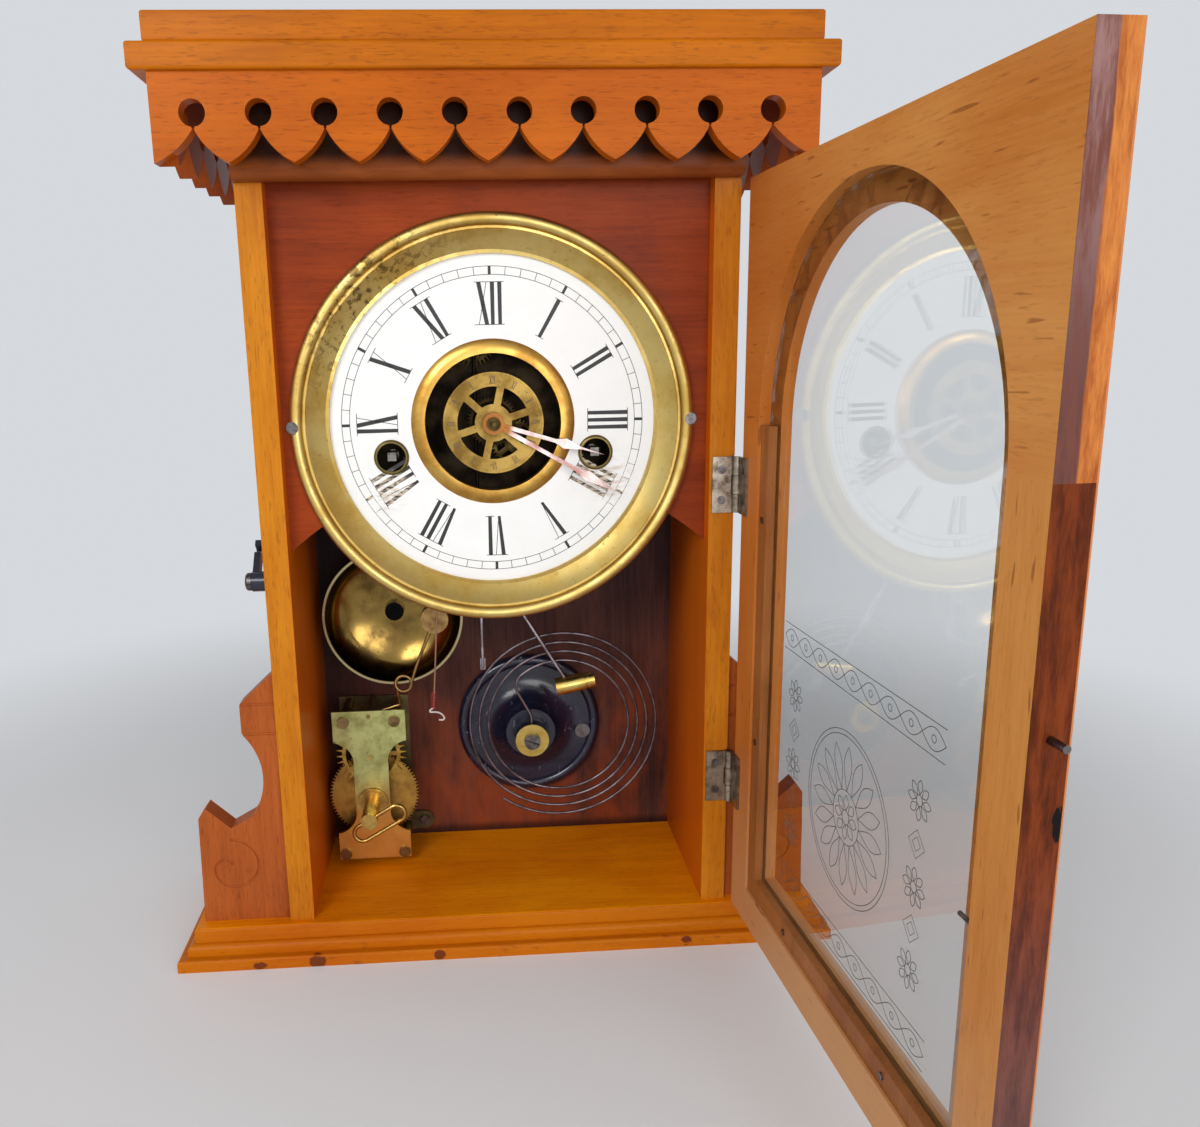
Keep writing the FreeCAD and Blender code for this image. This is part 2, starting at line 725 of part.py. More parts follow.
def turned(place, steps):
    """Solid turned about a front-to-back axis from a profile of radius and depth."""
    wire = []
    here = V(place[0] + steps[0][0][0], steps[0][0][1], place[1])
    first = here
    for step in steps[1:]:
        points = [V(place[0] + r, y, place[1]) for r, y in step]
        if len(points) == 1:
            wire.append(Part.LineSegment(here, points[0]).toShape())
        else:
            wire.append(Part.Arc(here, points[0], points[1]).toShape())
        here = points[-1]
    wire.append(Part.LineSegment(here, first).toShape())
    return Part.Face(Part.Wire(wire)).revolve(V(place[0], 0, place[1]), ALONG_Y, 360)


def soften(shape, radius, chosen):
    """Round the edges whose middle the test chooses."""
    edges = [edge for edge in shape.Edges if chosen(edge.CenterOfMass)]
    return shape.makeFillet(radius, edges)


def mirrored(shape):
    """The same shape on the other side of the case's middle."""
    return shape.mirror(V(0, 0, 0), ALONG_X)


def screw(place, y, radius, height, shank, length, slot_turn):
    """Slotted screw driven from the front; its head stands in front of y."""
    head = rod_along_y(place, radius, y - height, y)
    cut = box(-radius, radius, y - height, y - height / 2, -SCREW_SLOT / 2, SCREW_SLOT / 2)
    cut.rotate(V(0, 0, 0), ALONG_Y, slot_turn)
    cut.translate(V(place[0], 0, place[1]))
    return head.cut(cut).fuse(rod_along_y(place, shank, y, y + length))


def teeth_outline(place, teeth, module, phase, y):
    """Wire of a clock wheel with one tooth centred on a bearing."""
    pitch_radius = teeth * module / 2
    step = 360.0 / teeth
    tip = pitch_radius + TIP_IN_MODULES * module
    root = pitch_radius - ROOT_IN_MODULES * module
    points = []
    for index in range(teeth):
        middle = phase + index * step
        points.append(polar(place, root, middle - ROOT_SHARE * step))
        points.append(polar(place, tip, middle - TIP_SHARE * step))
        points.append(polar(place, tip, middle + TIP_SHARE * step))
        points.append(polar(place, root, middle + ROOT_SHARE * step))
    return Part.makePolygon([V(x, y, z) for x, z in points + points[:1]])


def pointed_outline(place, radius, depth, teeth, lean, y):
    """Wire of a wheel with slender pointed teeth that lean one way."""
    step = 360.0 / teeth
    points = []
    for index in range(teeth):
        points.append(polar(place, radius - depth, index * step))
        points.append(polar(place, radius, (index + lean) * step))
        points.append(polar(place, radius - depth, (index + POINT_SHARE) * step))
    return Part.makePolygon([V(x, y, z) for x, z in points + points[:1]])


def windows(place, inner, outer, count, gap, y):
    """Wires of the openings between the spokes of a wheel."""
    step = 360.0 / count
    near = math.degrees(gap / 2 / inner)
    far = math.degrees(gap / 2 / outer)
    wires = []
    for index in range(count):
        low = index * step
        high = low + step
        middle = low + step / 2
        start = polar(place, inner, low + near)
        steps = (
            (polar(place, outer, low + far),),
            (polar(place, outer, middle), polar(place, outer, high - far)),
            (polar(place, inner, high - near),),
            (polar(place, inner, middle), start),
        )
        wires.append(outline(start, steps, y))
    return wires


def wheel(place, teeth, module, phase, y, hub, bore):
    """Toothed wheel with spokes and a round bore."""
    rim = teeth * module / 2 - RIM_IN_MODULES * module
    wires = [teeth_outline(place, teeth, module, phase, y)]
    wires += windows(place, hub, rim, WHEEL_SPOKE_COUNT, SPOKE_WIDTH, y)
    wires.append(circle(place, bore, y))
    return slab(wires, y, y + WHEEL_THICKNESS)


def lantern(place, count, module, toward, y0, y1):
    """Pinion of round bars between two shrouds, with a gap facing a bearing."""
    pitch_radius = count * module / 2
    bar_radius = BAR_SHARE * math.pi * module
    shroud = pitch_radius + bar_radius + SHROUD_MARGIN
    pieces = [
        rod_along_y(place, shroud, y0 - SHROUD_THICKNESS, y0),
        rod_along_y(place, shroud, y1, y1 + SHROUD_THICKNESS),
    ]
    for index in range(count):
        turn = toward + (index + 0.5) * 360.0 / count
        pieces.append(rod_along_y(polar(place, pitch_radius, turn), bar_radius, y0, y1))
    return pieces


def pinion_span(layer):
    """Front and back of the pinion that meets a wheel on a layer."""
    middle = layer + WHEEL_THICKNESS / 2
    return middle - PINION_LENGTH / 2, middle + PINION_LENGTH / 2


def spiral_arcs(place, first_quarter, count, radius, shrink):
    """Quarter arcs of a spiral: centre, radius and start bearing of each."""
    arcs = []
    here = place
    for index in range(count):
        start = 90.0 * (first_quarter + index)
        arcs.append((here, radius, start))
        here = polar(here, shrink, start + 90.0)
        radius -= shrink
    return arcs


def arc_edge(arc, offset, y, start, end):
    """Edge of one spiral arc, moved outward by an offset."""
    place, radius, _ = arc
    points = [polar(place, radius + offset, turn) for turn in (start, (start + end) / 2, end)]
    return Part.Arc(*[V(x, y, z) for x, z in points]).toShape()


def flat_spring(place, outer, inner, turns, y0, y1):
    """Coiled strip seen edge on from the front."""
    quarters = 4 * turns
    arcs = spiral_arcs(place, 0, quarters, outer, (outer - inner) / quarters)
    half = SPRING_THICKNESS / 2
    out = [arc_edge(arc, half, y0, arc[2], arc[2] + 90.0) for arc in arcs]
    back = [arc_edge(arc, -half, y0, arc[2], arc[2] + 90.0) for arc in arcs]
    ends = [
        Part.LineSegment(out[0].Vertexes[0].Point, back[0].Vertexes[0].Point).toShape(),
        Part.LineSegment(out[-1].Vertexes[-1].Point, back[-1].Vertexes[-1].Point).toShape(),
    ]
    wire = Part.Wire(Part.__sortEdges__(out + back + ends))
    return slab([wire], y0, y1)


# Case
def top_edges(height):
    """Picks the upper front and side edges of a board that ends at the back of the case."""
    return lambda p: p.z > height - EDGE_TOLERANCE and p.y < rear - EDGE_TOLERANCE


def base_board():
    lip = box(-base_half, base_half, base_front, rear, 0, BASE_LIP_HEIGHT)
    bead_top = BASE_LIP_HEIGHT + BASE_BEAD_HEIGHT
    bead_half = base_half - BASE_BEAD_INSET
    bead = box(-bead_half, bead_half, base_front + BASE_BEAD_INSET, rear, BASE_LIP_HEIGHT, bead_top)
    bead = soften(bead, BASE_ROUNDING, top_edges(bead_top))
    top_half = base_half - BASE_TOP_INSET
    top = box(-top_half, top_half, base_front + BASE_TOP_INSET, rear, bead_top, base_top)
    top = soften(top, BASE_ROUNDING / 2, top_edges(base_top))
    lip = soften(lip, BASE_ROUNDING / 2, top_edges(BASE_LIP_HEIGHT))
    return join([lip, bead, top])


def hinge_recess():
    """Room in the right side for the barrels of both hinges."""
    pieces = []
    radius = HINGE_BARREL_RADIUS + HINGE_LEAF_GAP
    for height in hinge_heights:
        low = height - HINGE_LENGTH / 2 - HINGE_LEAF_GAP
        pieces.append(Part.makeCylinder(radius, HINGE_LENGTH + 2 * HINGE_LEAF_GAP, V(hinge_x, hinge_y, low)))
    return pieces


def latch_screw_hole(clearance):
    return rod_along_x(latch_y, latch_z, LATCH_SHANK_RADIUS + clearance, -case_half, latch_screw_end)


def hinge_screw_places():
    """Heights and distance from the hinge line of the screws in each leaf."""
    return [
        (height + side * HINGE_SCREW_SPACING / 2)
        for height in hinge_heights
        for side in (-1, 1)
    ]


hinge_screw_x = hinge_x - HINGE_LEAF_WIDTH / 2 - HINGE_SCREW_INSET


def case_hinge_screws(clearance):
    """Screws through the leaves on the case, their heads in front."""
    head = HINGE_SCREW_RADIUS + clearance
    shank = SCREW_SHANK_RADIUS + clearance
    leaf_face = front - HINGE_LEAF_THICKNESS
    pieces = []
    for z in hinge_screw_places():
        place = (hinge_screw_x, z)
        sunk = rod_along_y(place, head, leaf_face, leaf_face + HINGE_SCREW_HEIGHT)
        pieces.append(sunk.fuse(rod_along_y(place, shank, leaf_face, front + SCREW_SHANK_LENGTH)))
    return pieces


def door_hinge_screws(clearance):
    """Screws through the leaves on the door, their heads behind."""
    head = HINGE_SCREW_RADIUS + clearance
    shank = SCREW_SHANK_RADIUS + clearance
    leaf_face = door_inner + HINGE_LEAF_THICKNESS
    pieces = []
    for z in hinge_screw_places():
        place = (hinge_screw_x, z)
        sunk = rod_along_y(place, head, leaf_face - HINGE_SCREW_HEIGHT, leaf_face)
        pieces.append(sunk.fuse(rod_along_y(place, shank, door_inner - SCREW_SHANK_LENGTH, leaf_face)))
    return pieces


def case_side(sign):
    edges = sorted((sign * inner_half, sign * case_half))
    side = box(edges[0], edges[1], front, wall, base_top, case_top)
    if sign < 0:
        return side.cut(latch_screw_hole(HOLE_CLEARANCE))
    return side.cut(hinge_recess() + case_hinge_screws(HOLE_CLEARANCE))


def back_board():
    board = box(-case_half, case_half, wall, rear, base_top, case_top)
    return board.cut(wall_screw_holes())


def front_rail():
    rail = box(-case_half, case_half, front - RAIL_THICKNESS, front, rail_bottom, case_top)
    face = front - RAIL_THICKNESS + EDGE_TOLERANCE
    return soften(rail, RAIL_ROUNDING, lambda p: p.y < face and p.z < rail_bottom + EDGE_TOLERANCE)


def top_slab(half, slab_front, z0, z1):
    board = box(-half, half, slab_front, rear, z0, z1)
    middle = (z0 + z1) / 2
    return soften(board, SLAB_ROUNDING,
                  lambda p: abs(p.z - middle) > EDGE_TOLERANCE and p.y < rear - EDGE_TOLERANCE)


def cornice_board():
    return top_slab(cornice_half, cornice_front, case_top, cornice_top)


def cap_board():
    return top_slab(cap_half, cap_front, cornice_top, cap_top)


def valance(length, shift):
    """Board with leaf-shaped teeth, hung from z 0 and centred on x 0, front face at y 0."""
    half = length / 2
    count = int((length - VALANCE_END_MARGIN) / TOOTH_PITCH)
    notches = [shift + (index - (count - 1) / 2) * TOOTH_PITCH for index in range(count)]
    apex = -HOLE_DROP - HOLE_RADIUS - SLIT_LENGTH
    tips = [-half] + [(a + b) / 2 for a, b in zip(notches, notches[1:])] + [half]
    steps = []
    for index, notch in enumerate(notches):
        for start, end in (((tips[index], -VALANCE_DROP), (notch, apex)),
                           ((notch, apex), (tips[index + 1], -VALANCE_DROP))):
            middle = ((start[0] + end[0]) / 2, (start[1] + end[1]) / 2)
            lean = TOOTH_BULGE if start[0] < middle[0] and start[1] < end[1] else -TOOTH_BULGE
            steps.append(((middle[0] + lean, middle[1] - TOOTH_BULGE), end))
    steps += [((half, 0),), ((-half, 0),), ((-half, -VALANCE_DROP),)]
    board = slab([outline((-half, -VALANCE_DROP), steps, 0)], 0, VALANCE_THICKNESS)
    cuts = [rod_along_y((notch, -HOLE_DROP), HOLE_RADIUS, 0, VALANCE_THICKNESS) for notch in notches]
    slit = SLIT_WIDTH / 2
    for notch in notches:
        cuts.append(box(notch - slit, notch + slit, 0, VALANCE_THICKNESS, apex - slit, -HOLE_DROP))
    return board.cut(cuts)


def valance_front():
    board = valance(2 * valance_half, TOOTH_SHIFT)
    board.translate(V(0, valance_front_y, case_top))
    return board


def valance_sides():
    start = valance_front_y + VALANCE_THICKNESS
    board = valance(rear - start, 0)
    board.rotate(V(0, 0, 0), ALONG_Z, 90)
    board.translate(V(valance_half, (start + rear) / 2, case_top))
    return Part.makeCompound([board, mirrored(board)])


def bracket():
    """Left bracket, with an incised scroll and two incised lines on its face."""
    y0 = front + BRACKET_SETBACK
    y1 = y0 + BRACKET_THICKNESS

    def at(out, height):
        return (-case_half - out, base_top + height)

    steps = (
        (at(0, BRACKET_HEIGHT),),
        (at(SHOULDER_OUT, SHOULDER_HEIGHT),),
        (at(SHOULDER_OUT, SHOULDER_HEIGHT - SHOULDER_DEPTH),),
        (at(HOLLOW_OUT, HOLLOW_HEIGHT), at(LEDGE_OUT, LEDGE_HEIGHT)),
        (at(NOTCH_OUT, NOTCH_HEIGHT),),
        (at(EAR_OUT, EAR_HEIGHT),),
        (at(BRACKET_WIDTH - EAR_BATTER, EAR_HEIGHT - EAR_SLOPE),),
        (at(BRACKET_WIDTH, 0),),
        (at(0, 0),),
    )
    board = slab([outline(at(0, 0), steps, y0)], y0, y1)
    here = at(SCROLL_OUT, SCROLL_HEIGHT)
    turn = 90.0
    edges = []
    middle = (here[0], here[1] - SCROLL_RADII[0])
    for index, radius in enumerate(SCROLL_RADII):
        arc = (middle, radius, turn)
        edges.append(arc_edge(arc, 0, y0, turn, turn - 90.0))
        turn -= 90.0
        if index + 1 < len(SCROLL_RADII):
            middle = polar(middle, radius - SCROLL_RADII[index + 1], turn)
    path = Part.Wire(edges)
    start = V(here[0], y0, here[1])
    section = Part.Wire(Part.makeCircle(GROOVE_RADIUS, start, ALONG_X))
    groove = path.makePipeShell([section], True, False)
    low = at(SHOULDER_OUT, SHOULDER_HEIGHT - SHOULDER_DEPTH)
    high = at(SHOULDER_OUT, SHOULDER_HEIGHT)
    lines = []
    for z in (low[1], high[1]):
        lines.append(rod_along_x(y0, z, GROOVE_RADIUS, low[0], -case_half))
    return board.cut([groove] + lines)


# Dial
def bezel_screw_places():
    out = BEZEL_RADIUS - BEZEL_SCREW_INSET
    return [(dial_x - out, dial_z), (dial_x + out, dial_z)]


def dial_board():
    corner = dial_z - BOARD_CORNER_DROP
    start = (-inner_half, corner)
    steps = (
        ((0, corner + BOARD_ARCH_RISE), (inner_half, corner)),
        ((inner_half, case_top),),
        ((-inner_half, case_top),),
        (start,),
    )
    back = board_front + BOARD_THICKNESS
    board = slab([outline(start, steps, board_front)], board_front, back)
    hole = sight_radius + BOARD_HOLE_MARGIN
    cuts = [rod_along_y(centre, hole, board_front, back)]
    for place in bezel_screw_places():
        shank = SCREW_SHANK_RADIUS + HOLE_CLEARANCE
        cuts.append(rod_along_y(place, shank, board_front, board_front + SCREW_SHANK_LENGTH))
    return board.cut(cuts)


def bezel():
    crest = board_front - BEZEL_HEIGHT
    roll_in = BEZEL_RADIUS - 2 * BEZEL_ROLL
    seat = sight_radius + BOARD_HOLE_MARGIN - BEZEL_CLEARANCE
    groove_in = roll_in - BEZEL_GROOVE
    band = groove_in - BEZEL_GROOVE_SLOPE
    band_y = crest + BEZEL_BAND_DROP
    lip_y = dial_front - BEZEL_LIP
    lip = sight_radius + BEZEL_LIP_WIDTH
    hollow = (band + lip) / 2
    steps = [
        ((BEZEL_RADIUS, board_front),),
        ((BEZEL_RADIUS, crest + BEZEL_ROLL),),
        ((BEZEL_RADIUS - BEZEL_ROLL, crest), (roll_in, crest + BEZEL_ROLL)),
        ((groove_in, crest + BEZEL_ROLL),),
        ((band, band_y),),
        ((hollow, (band_y + lip_y) / 2 + BEZEL_HOLLOW), (lip, lip_y)),
        ((sight_radius, lip_y - BEZEL_LIP_RISE),),
        ((sight_radius, dial_front),),
        ((seat, dial_front),),
        ((seat, board_front),),
    ]
    ring = turned(centre, steps)
    pocket = SCREW_HEAD_RADIUS + SCREW_POCKET_CLEARANCE
    return ring.cut([rod_along_y(place, pocket, crest, board_front) for place in bezel_screw_places()])


def dial_plate():
    wires = [circle(centre, sight_radius + DIAL_MARGIN, dial_front)]
    wires.append(circle(centre, RING_OPENING_RADIUS + RING_WALL + HOLE_CLEARANCE, dial_front))
    for place in (time_main, strike_main):
        wires.append(circle(place, GROMMET_BORE_RADIUS + GROMMET_WALL + HOLE_CLEARANCE, dial_front))
    return slab(wires, dial_front, dial_back)


def ring(place, outer, inner, wall_thickness, height, tail):
    """Turned brass ring with a rounded flange in front of the dial and a tail through it."""
    body = inner + wall_thickness
    steps = [
        ((inner, dial_back + tail),),
        ((inner, dial_front - height),),
        ((body, dial_front - height),),
        (((body + outer) / 2, dial_front - height * RING_CROWN), (outer, dial_front)),
        ((body, dial_front),),
        ((body, dial_back + tail),),
    ]
    return turned(place, steps)


def dial_rings():
    rings = [ring(centre, RING_RADIUS, RING_OPENING_RADIUS, RING_WALL, RING_HEIGHT, RING_TAIL)]
    for place in (time_main, strike_main):
        rings.append(ring(place, GROMMET_RADIUS, GROMMET_BORE_RADIUS, GROMMET_WALL, GROMMET_HEIGHT,
                          GROMMET_TAIL))
    return Part.makeCompound(rings)


def hand(length, turn, leaf, y0, y1, bore):
    """Slim hand with a diamond leaf, a fine point and a round hub; leaf is its length, width and point."""
    leaf_length, leaf_width, point_length = leaf
    stem = HAND_STEM_WIDTH / 2
    neck = stem * STEM_TAPER
    fine = HAND_POINT_WIDTH / 2
    leaf_to = length - point_length
    leaf_from = leaf_to - leaf_length
    widest = leaf_from + leaf_length * LEAF_SWELL
    start = (0, -stem)
    steps = (
        ((leaf_from, -neck),),
        ((widest, -leaf_width / 2),),
        ((leaf_to, -fine),),
        ((length, 0),),
        ((leaf_to, fine),),
        ((widest, leaf_width / 2),),
        ((leaf_from, neck),),
        ((0, stem),),
        (start,),
    )
    blade = slab([outline(start, steps, y0)], y0, y1)
    blade = blade.fuse(rod_along_y((0, 0), HAND_HUB_RADIUS, y0, y1))
    blade.rotate(V(0, 0, 0), V(0, -1, 0), turn)
    blade.translate(V(centre[0], 0, centre[1]))
    return blade.cut(rod_along_y(centre, bore, y0, y1))


cannon_bore = ARBOR_RADIUS + RUNNING_CLEARANCE
cannon_radius = cannon_bore + PIPE_WALL
hour_bore = cannon_radius + RUNNING_CLEARANCE
hour_radius = hour_bore + PIPE_WALL
disc_bore = hour_radius + RUNNING_CLEARANCE
disc_radius = disc_bore + PIPE_WALL


def minute_hand():
    leaf = (MINUTE_LEAF_LENGTH, MINUTE_LEAF_WIDTH, MINUTE_POINT_LENGTH)
    blade = hand(minute_hand_length, MINUTE_HAND_ANGLE, leaf,
                 minute_hand_front, minute_hand_back, cannon_bore)
    y0 = motion_front - PINION_MARGIN
    y1 = motion_back + PINION_MARGIN
    pipe = rod_along_y(centre, cannon_radius, minute_hand_front, y1 + SHROUD_THICKNESS)
    whole = join([blade, pipe] + lantern(centre, CANNON_PINION_TEETH, MOTION_MODULE, MOTION_BEARING, y0, y1))
    return whole.cut(rod_along_y(centre, cannon_bore, minute_hand_front, y1 + SHROUD_THICKNESS))


def hour_hand():
    leaf = (HOUR_LEAF_LENGTH, HOUR_LEAF_WIDTH, HOUR_POINT_LENGTH)
    blade = hand(hour_hand_length, HOUR_HAND_ANGLE, leaf, hour_hand_front, hour_hand_back, hour_bore)
    pipe = tube_along_y(centre, hour_radius, hour_bore, hour_hand_front, hour_wheel_back)
    gear = wheel(centre, HOUR_TEETH, HOUR_MODULE, MOTION_BEARING, hour_wheel_front, HOUR_HUB, hour_bore)
    return join([blade, pipe, gear])


def motion_wheel():
    """Wheel and pinion on a post of the front plate; the pinion's bars stand on the wheel."""
    y0 = hour_wheel_front - PINION_MARGIN
    post = MOTION_POST_RADIUS + RUNNING_CLEARANCE
    sleeve = tube_along_y(motion, post + PIPE_WALL / 2, post, y0 - SHROUD_THICKNESS, motion_back)
    gear = wheel(motion, MOTION_TEETH, MOTION_MODULE, MOTION_BEARING + 180.0, motion_front, MOTION_HUB, post)
    bars = lantern(motion, MOTION_PINION_TEETH, HOUR_MODULE, MOTION_BEARING + 180.0, y0, motion_front)
    whole = join([sleeve, gear] + bars)
    return whole.cut(rod_along_y(motion, post, y0 - SHROUD_THICKNESS, motion_back))


def alarm_disc():
    y0 = alarm_disc_front
    wires = [circle(centre, ALARM_DISC_RADIUS, y0)]
    band = ALARM_DISC_RADIUS - ALARM_DISC_BAND
    wires += windows(centre, ALARM_DISC_HUB, band, ALARM_DISC_SPOKE_COUNT, ALARM_DISC_SPOKE, y0)
    wires.append(circle(centre, disc_bore, y0))
    disc = slab(wires, y0, alarm_disc_back)
    rim_inside = ALARM_DISC_RADIUS - ALARM_DISC_RIM
    rim = tube_along_y(centre, ALARM_DISC_RADIUS, rim_inside, y0 - ALARM_DISC_RIM_HEIGHT, y0)
    pipe = tube_along_y(centre, disc_radius, disc_bore, y0, hour_wheel_front - PIPE_END_GAP)
    whole = join([disc, rim, pipe])
    whole.rotate(V(centre[0], 0, centre[1]), V(0, -1, 0), ALARM_DISC_TURN)
    return whole


# Movement
def pillar_places():
    left = dial_x - PLATE_HALF_WIDTH
    right = dial_x + PLATE_HALF_WIDTH
    low = plate_bottom + PILLAR_INSET
    high = plate_top - UPPER_PILLAR_DROP
    return [
        (left + PILLAR_INSET, low),
        (right - PILLAR_INSET, low),
        (left + UPPER_PILLAR_INSET, high),
        (right - UPPER_PILLAR_INSET, high),
    ]


arbor_hole = ARBOR_RADIUS + RUNNING_CLEARANCE
winding_hole = WINDING_RADIUS + RUNNING_CLEARANCE


def plate_blank(y0, y1):
    """Movement plate with holes for pillars and arbors."""
    plate = box(dial_x - PLATE_HALF_WIDTH, dial_x + PLATE_HALF_WIDTH, y0, y1, plate_bottom, plate_top)
    stud = PILLAR_STUD_RADIUS + HOLE_CLEARANCE
    cuts = [rod_along_y(place, stud, y0, y1) for place in pillar_places()]
    for place in (centre, time_second, third, escape, strike_second, fly, hammer_arbor):
        cuts.append(rod_along_y(place, arbor_hole, y0, y1))
    for place in (time_main, strike_main):
        cuts.append(rod_along_y(place, winding_hole, y0, y1))
    return plate, cuts


cord_peg = (CORD_ROUTE[0][0], CORD_ROUTE[0][2] + CORD_PEG_RADIUS)


def movement_front_plate():
    plate, cuts = plate_blank(plate_front, plate_inside)
    cuts.append(rod_along_y(verge, VERGE_RADIUS + RUNNING_CLEARANCE, plate_front, plate_inside))
    half = STUD_SIZE / 2
    stud_low = pendulum_pivot[1] + STUD_GAP
    stud = box(pendulum_pivot[0] - half, pendulum_pivot[0] + half, rod_y - half, plate_inside,
               stud_low, stud_low + STUD_SIZE)
    lug = box(pendulum_pivot[0] - 2 * half, pendulum_pivot[0] + 2 * half, plate_front, plate_inside,
              plate_top - STUD_LAP, stud_low + STUD_SIZE)
    post = rod_along_y(motion, MOTION_POST_RADIUS, hour_wheel_front - PIPE_END_GAP, plate_inside)
    ear = box(cord_peg[0] - CORD_EAR_HALF, cord_peg[0] + CORD_EAR_HALF, plate_front, plate_inside,
              cord_peg[1] - CORD_PEG_RADIUS, plate_bottom + CORD_EAR_HALF)
    peg = rod_along_y(cord_peg, CORD_PEG_RADIUS, plate_front, CORD_ROUTE[0][1] + CORD_EAR_HALF)
    return join([plate.cut(cuts), stud, lug, post, ear, peg])


def movement_back_plate():
    plate, cuts = plate_blank(back_plate_inside, back_plate_rear)
    return plate.cut(cuts)


def movement_pillars():
    """Pillars between the plates, carried on to the back board as feet."""
    pillars = []
    for place in pillar_places():
        pillars.append(join([
            rod_along_y(place, PILLAR_RADIUS, plate_front - PILLAR_NUT_HEIGHT, plate_front),
            rod_along_y(place, PILLAR_STUD_RADIUS, plate_front, plate_inside),
            rod_along_y(place, PILLAR_RADIUS, plate_inside, back_plate_inside),
            rod_along_y(place, PILLAR_STUD_RADIUS, back_plate_inside, back_plate_rear),
            rod_along_y(place, PILLAR_RADIUS, back_plate_rear, wall),
        ]))
    return Part.makeCompound(pillars)


def mainsprings():
    springs = []
    inner = WINDING_RADIUS + SPRING_ARBOR_GAP + SPRING_THICKNESS / 2
    for place in (time_main, strike_main):
        springs.append(flat_spring(place, SPRING_RADIUS, inner, SPRING_TURN_COUNT,
                                   spring_front, spring_front + SPRING_WIDTH))
    inner = ALARM_ARBOR_RADIUS + SPRING_ARBOR_GAP + SPRING_THICKNESS / 2
    y0 = alarm_main_y + 2 * WHEEL_THICKNESS + ALARM_SPRING_GAP
    springs.append(flat_spring(alarm_main, ALARM_SPRING_RADIUS, inner, SPRING_TURN_COUNT,
                               y0, y0 + ALARM_SPRING_WIDTH))
    return Part.makeCompound(springs)


arbor_end = back_plate_rear + ARBOR_TAIL


def main_wheel(place, toward):
    hub = RATCHET_RADIUS + 2 * CLICK_RADIUS + RATCHET_GAP
    gear = wheel(place, MAIN_TEETH, MAIN_MODULE, toward, main_layer, hub, winding_hole)
    click = polar(place, RATCHET_RADIUS + RATCHET_GAP + CLICK_RADIUS, 90.0)
    click_front = main_layer - RATCHET_GAP - RATCHET_THICKNESS
    return gear.fuse(rod_along_y(click, CLICK_RADIUS, click_front, main_layer))


def winding_arbor(place):
    """Winding arbor with a square end and a ratchet in front of its main wheel."""
    half = WINDING_SQUARE / 2
    tip = dial_back + WINDING_TIP_GAP
    square = box(place[0] - half, place[0] + half, tip, plate_front, place[1] - half, place[1] + half)
    body = rod_along_y(place, WINDING_RADIUS, plate_front - WINDING_SHOULDER, arbor_end)
    back = main_layer - RATCHET_GAP
    face = back - RATCHET_THICKNESS
    wire = pointed_outline(place, RATCHET_RADIUS, RATCHET_DEPTH, RATCHET_TEETH, 0.0, face)
    teeth = slab([wire], face, back)
    collar = rod_along_y(place, WINDING_RADIUS + WINDING_COLLAR, plate_inside + RATCHET_GAP, face)
    return join([square, body, teeth, collar])


def train_wheel(place, teeth, module, wheel_toward, layer, leaves, leaf_module, leaf_toward, leaf_layer):
    """Arbor between the plates with a wheel and a pinion."""
    arbor = rod_along_y(place, ARBOR_RADIUS, plate_front - ARBOR_TAIL, arbor_end)
    gear = wheel(place, teeth, module, wheel_toward, layer, WHEEL_HUB, ARBOR_RADIUS)
    y0, y1 = pinion_span(leaf_layer)
    return join([arbor, gear] + lantern(place, leaves, leaf_module, leaf_toward, y0, y1))


def time_second_wheel():
    return train_wheel(time_second, SECOND_TEETH, SECOND_MODULE, bearing(time_second, centre), second_layer,
                       SECOND_PINION_TEETH, MAIN_MODULE, bearing(time_second, time_main), main_layer)


def strike_second_wheel():
    return train_wheel(strike_second, SECOND_TEETH, SECOND_MODULE, bearing(strike_second, fly), second_layer,
                       SECOND_PINION_TEETH, MAIN_MODULE, bearing(strike_second, strike_main), main_layer)


def third_wheel():
    return train_wheel(third, THIRD_TEETH, THIRD_MODULE, bearing(third, escape), third_layer,
                       THIRD_PINION_TEETH, CENTRE_MODULE, bearing(third, centre), centre_layer)


def centre_wheel():
    """Centre arbor, carried forward through the hands to a collet."""
    tip = minute_hand_front - ARBOR_TIP - COLLET_THICKNESS
    arbor = rod_along_y(centre, ARBOR_RADIUS, tip, arbor_end)
    collet_back = minute_hand_front - COLLET_GAP
    collet = rod_along_y(centre, COLLET_RADIUS, collet_back - COLLET_THICKNESS, collet_back)
    gear = wheel(centre, CENTRE_TEETH, CENTRE_MODULE, bearing(centre, third), centre_layer,
                 WHEEL_HUB, ARBOR_RADIUS)
    y0, y1 = pinion_span(second_layer)
    bars = lantern(centre, CENTRE_PINION_TEETH, SECOND_MODULE, bearing(centre, time_second), y0, y1)
    return join([arbor, collet, gear] + bars)


def escape_wheel():
    arbor = rod_along_y(escape, ARBOR_RADIUS, escape_front, arbor_end)
    wires = [pointed_outline(escape, ESCAPE_RADIUS, ESCAPE_TOOTH_DEPTH, ESCAPE_TEETH,
                             ESCAPE_TOOTH_LEAN, escape_front)]
    rim = ESCAPE_RADIUS - ESCAPE_RIM
    wires += windows(escape, ESCAPE_HUB, rim, WHEEL_SPOKE_COUNT, ESCAPE_SPOKE, escape_front)
    disc = slab(wires, escape_front, escape_back)
    y0, y1 = pinion_span(third_layer)
    bars = lantern(escape, ESCAPE_PINION_TEETH, THIRD_MODULE, bearing(escape, third), y0, y1)
    return join([arbor, disc] + bars)


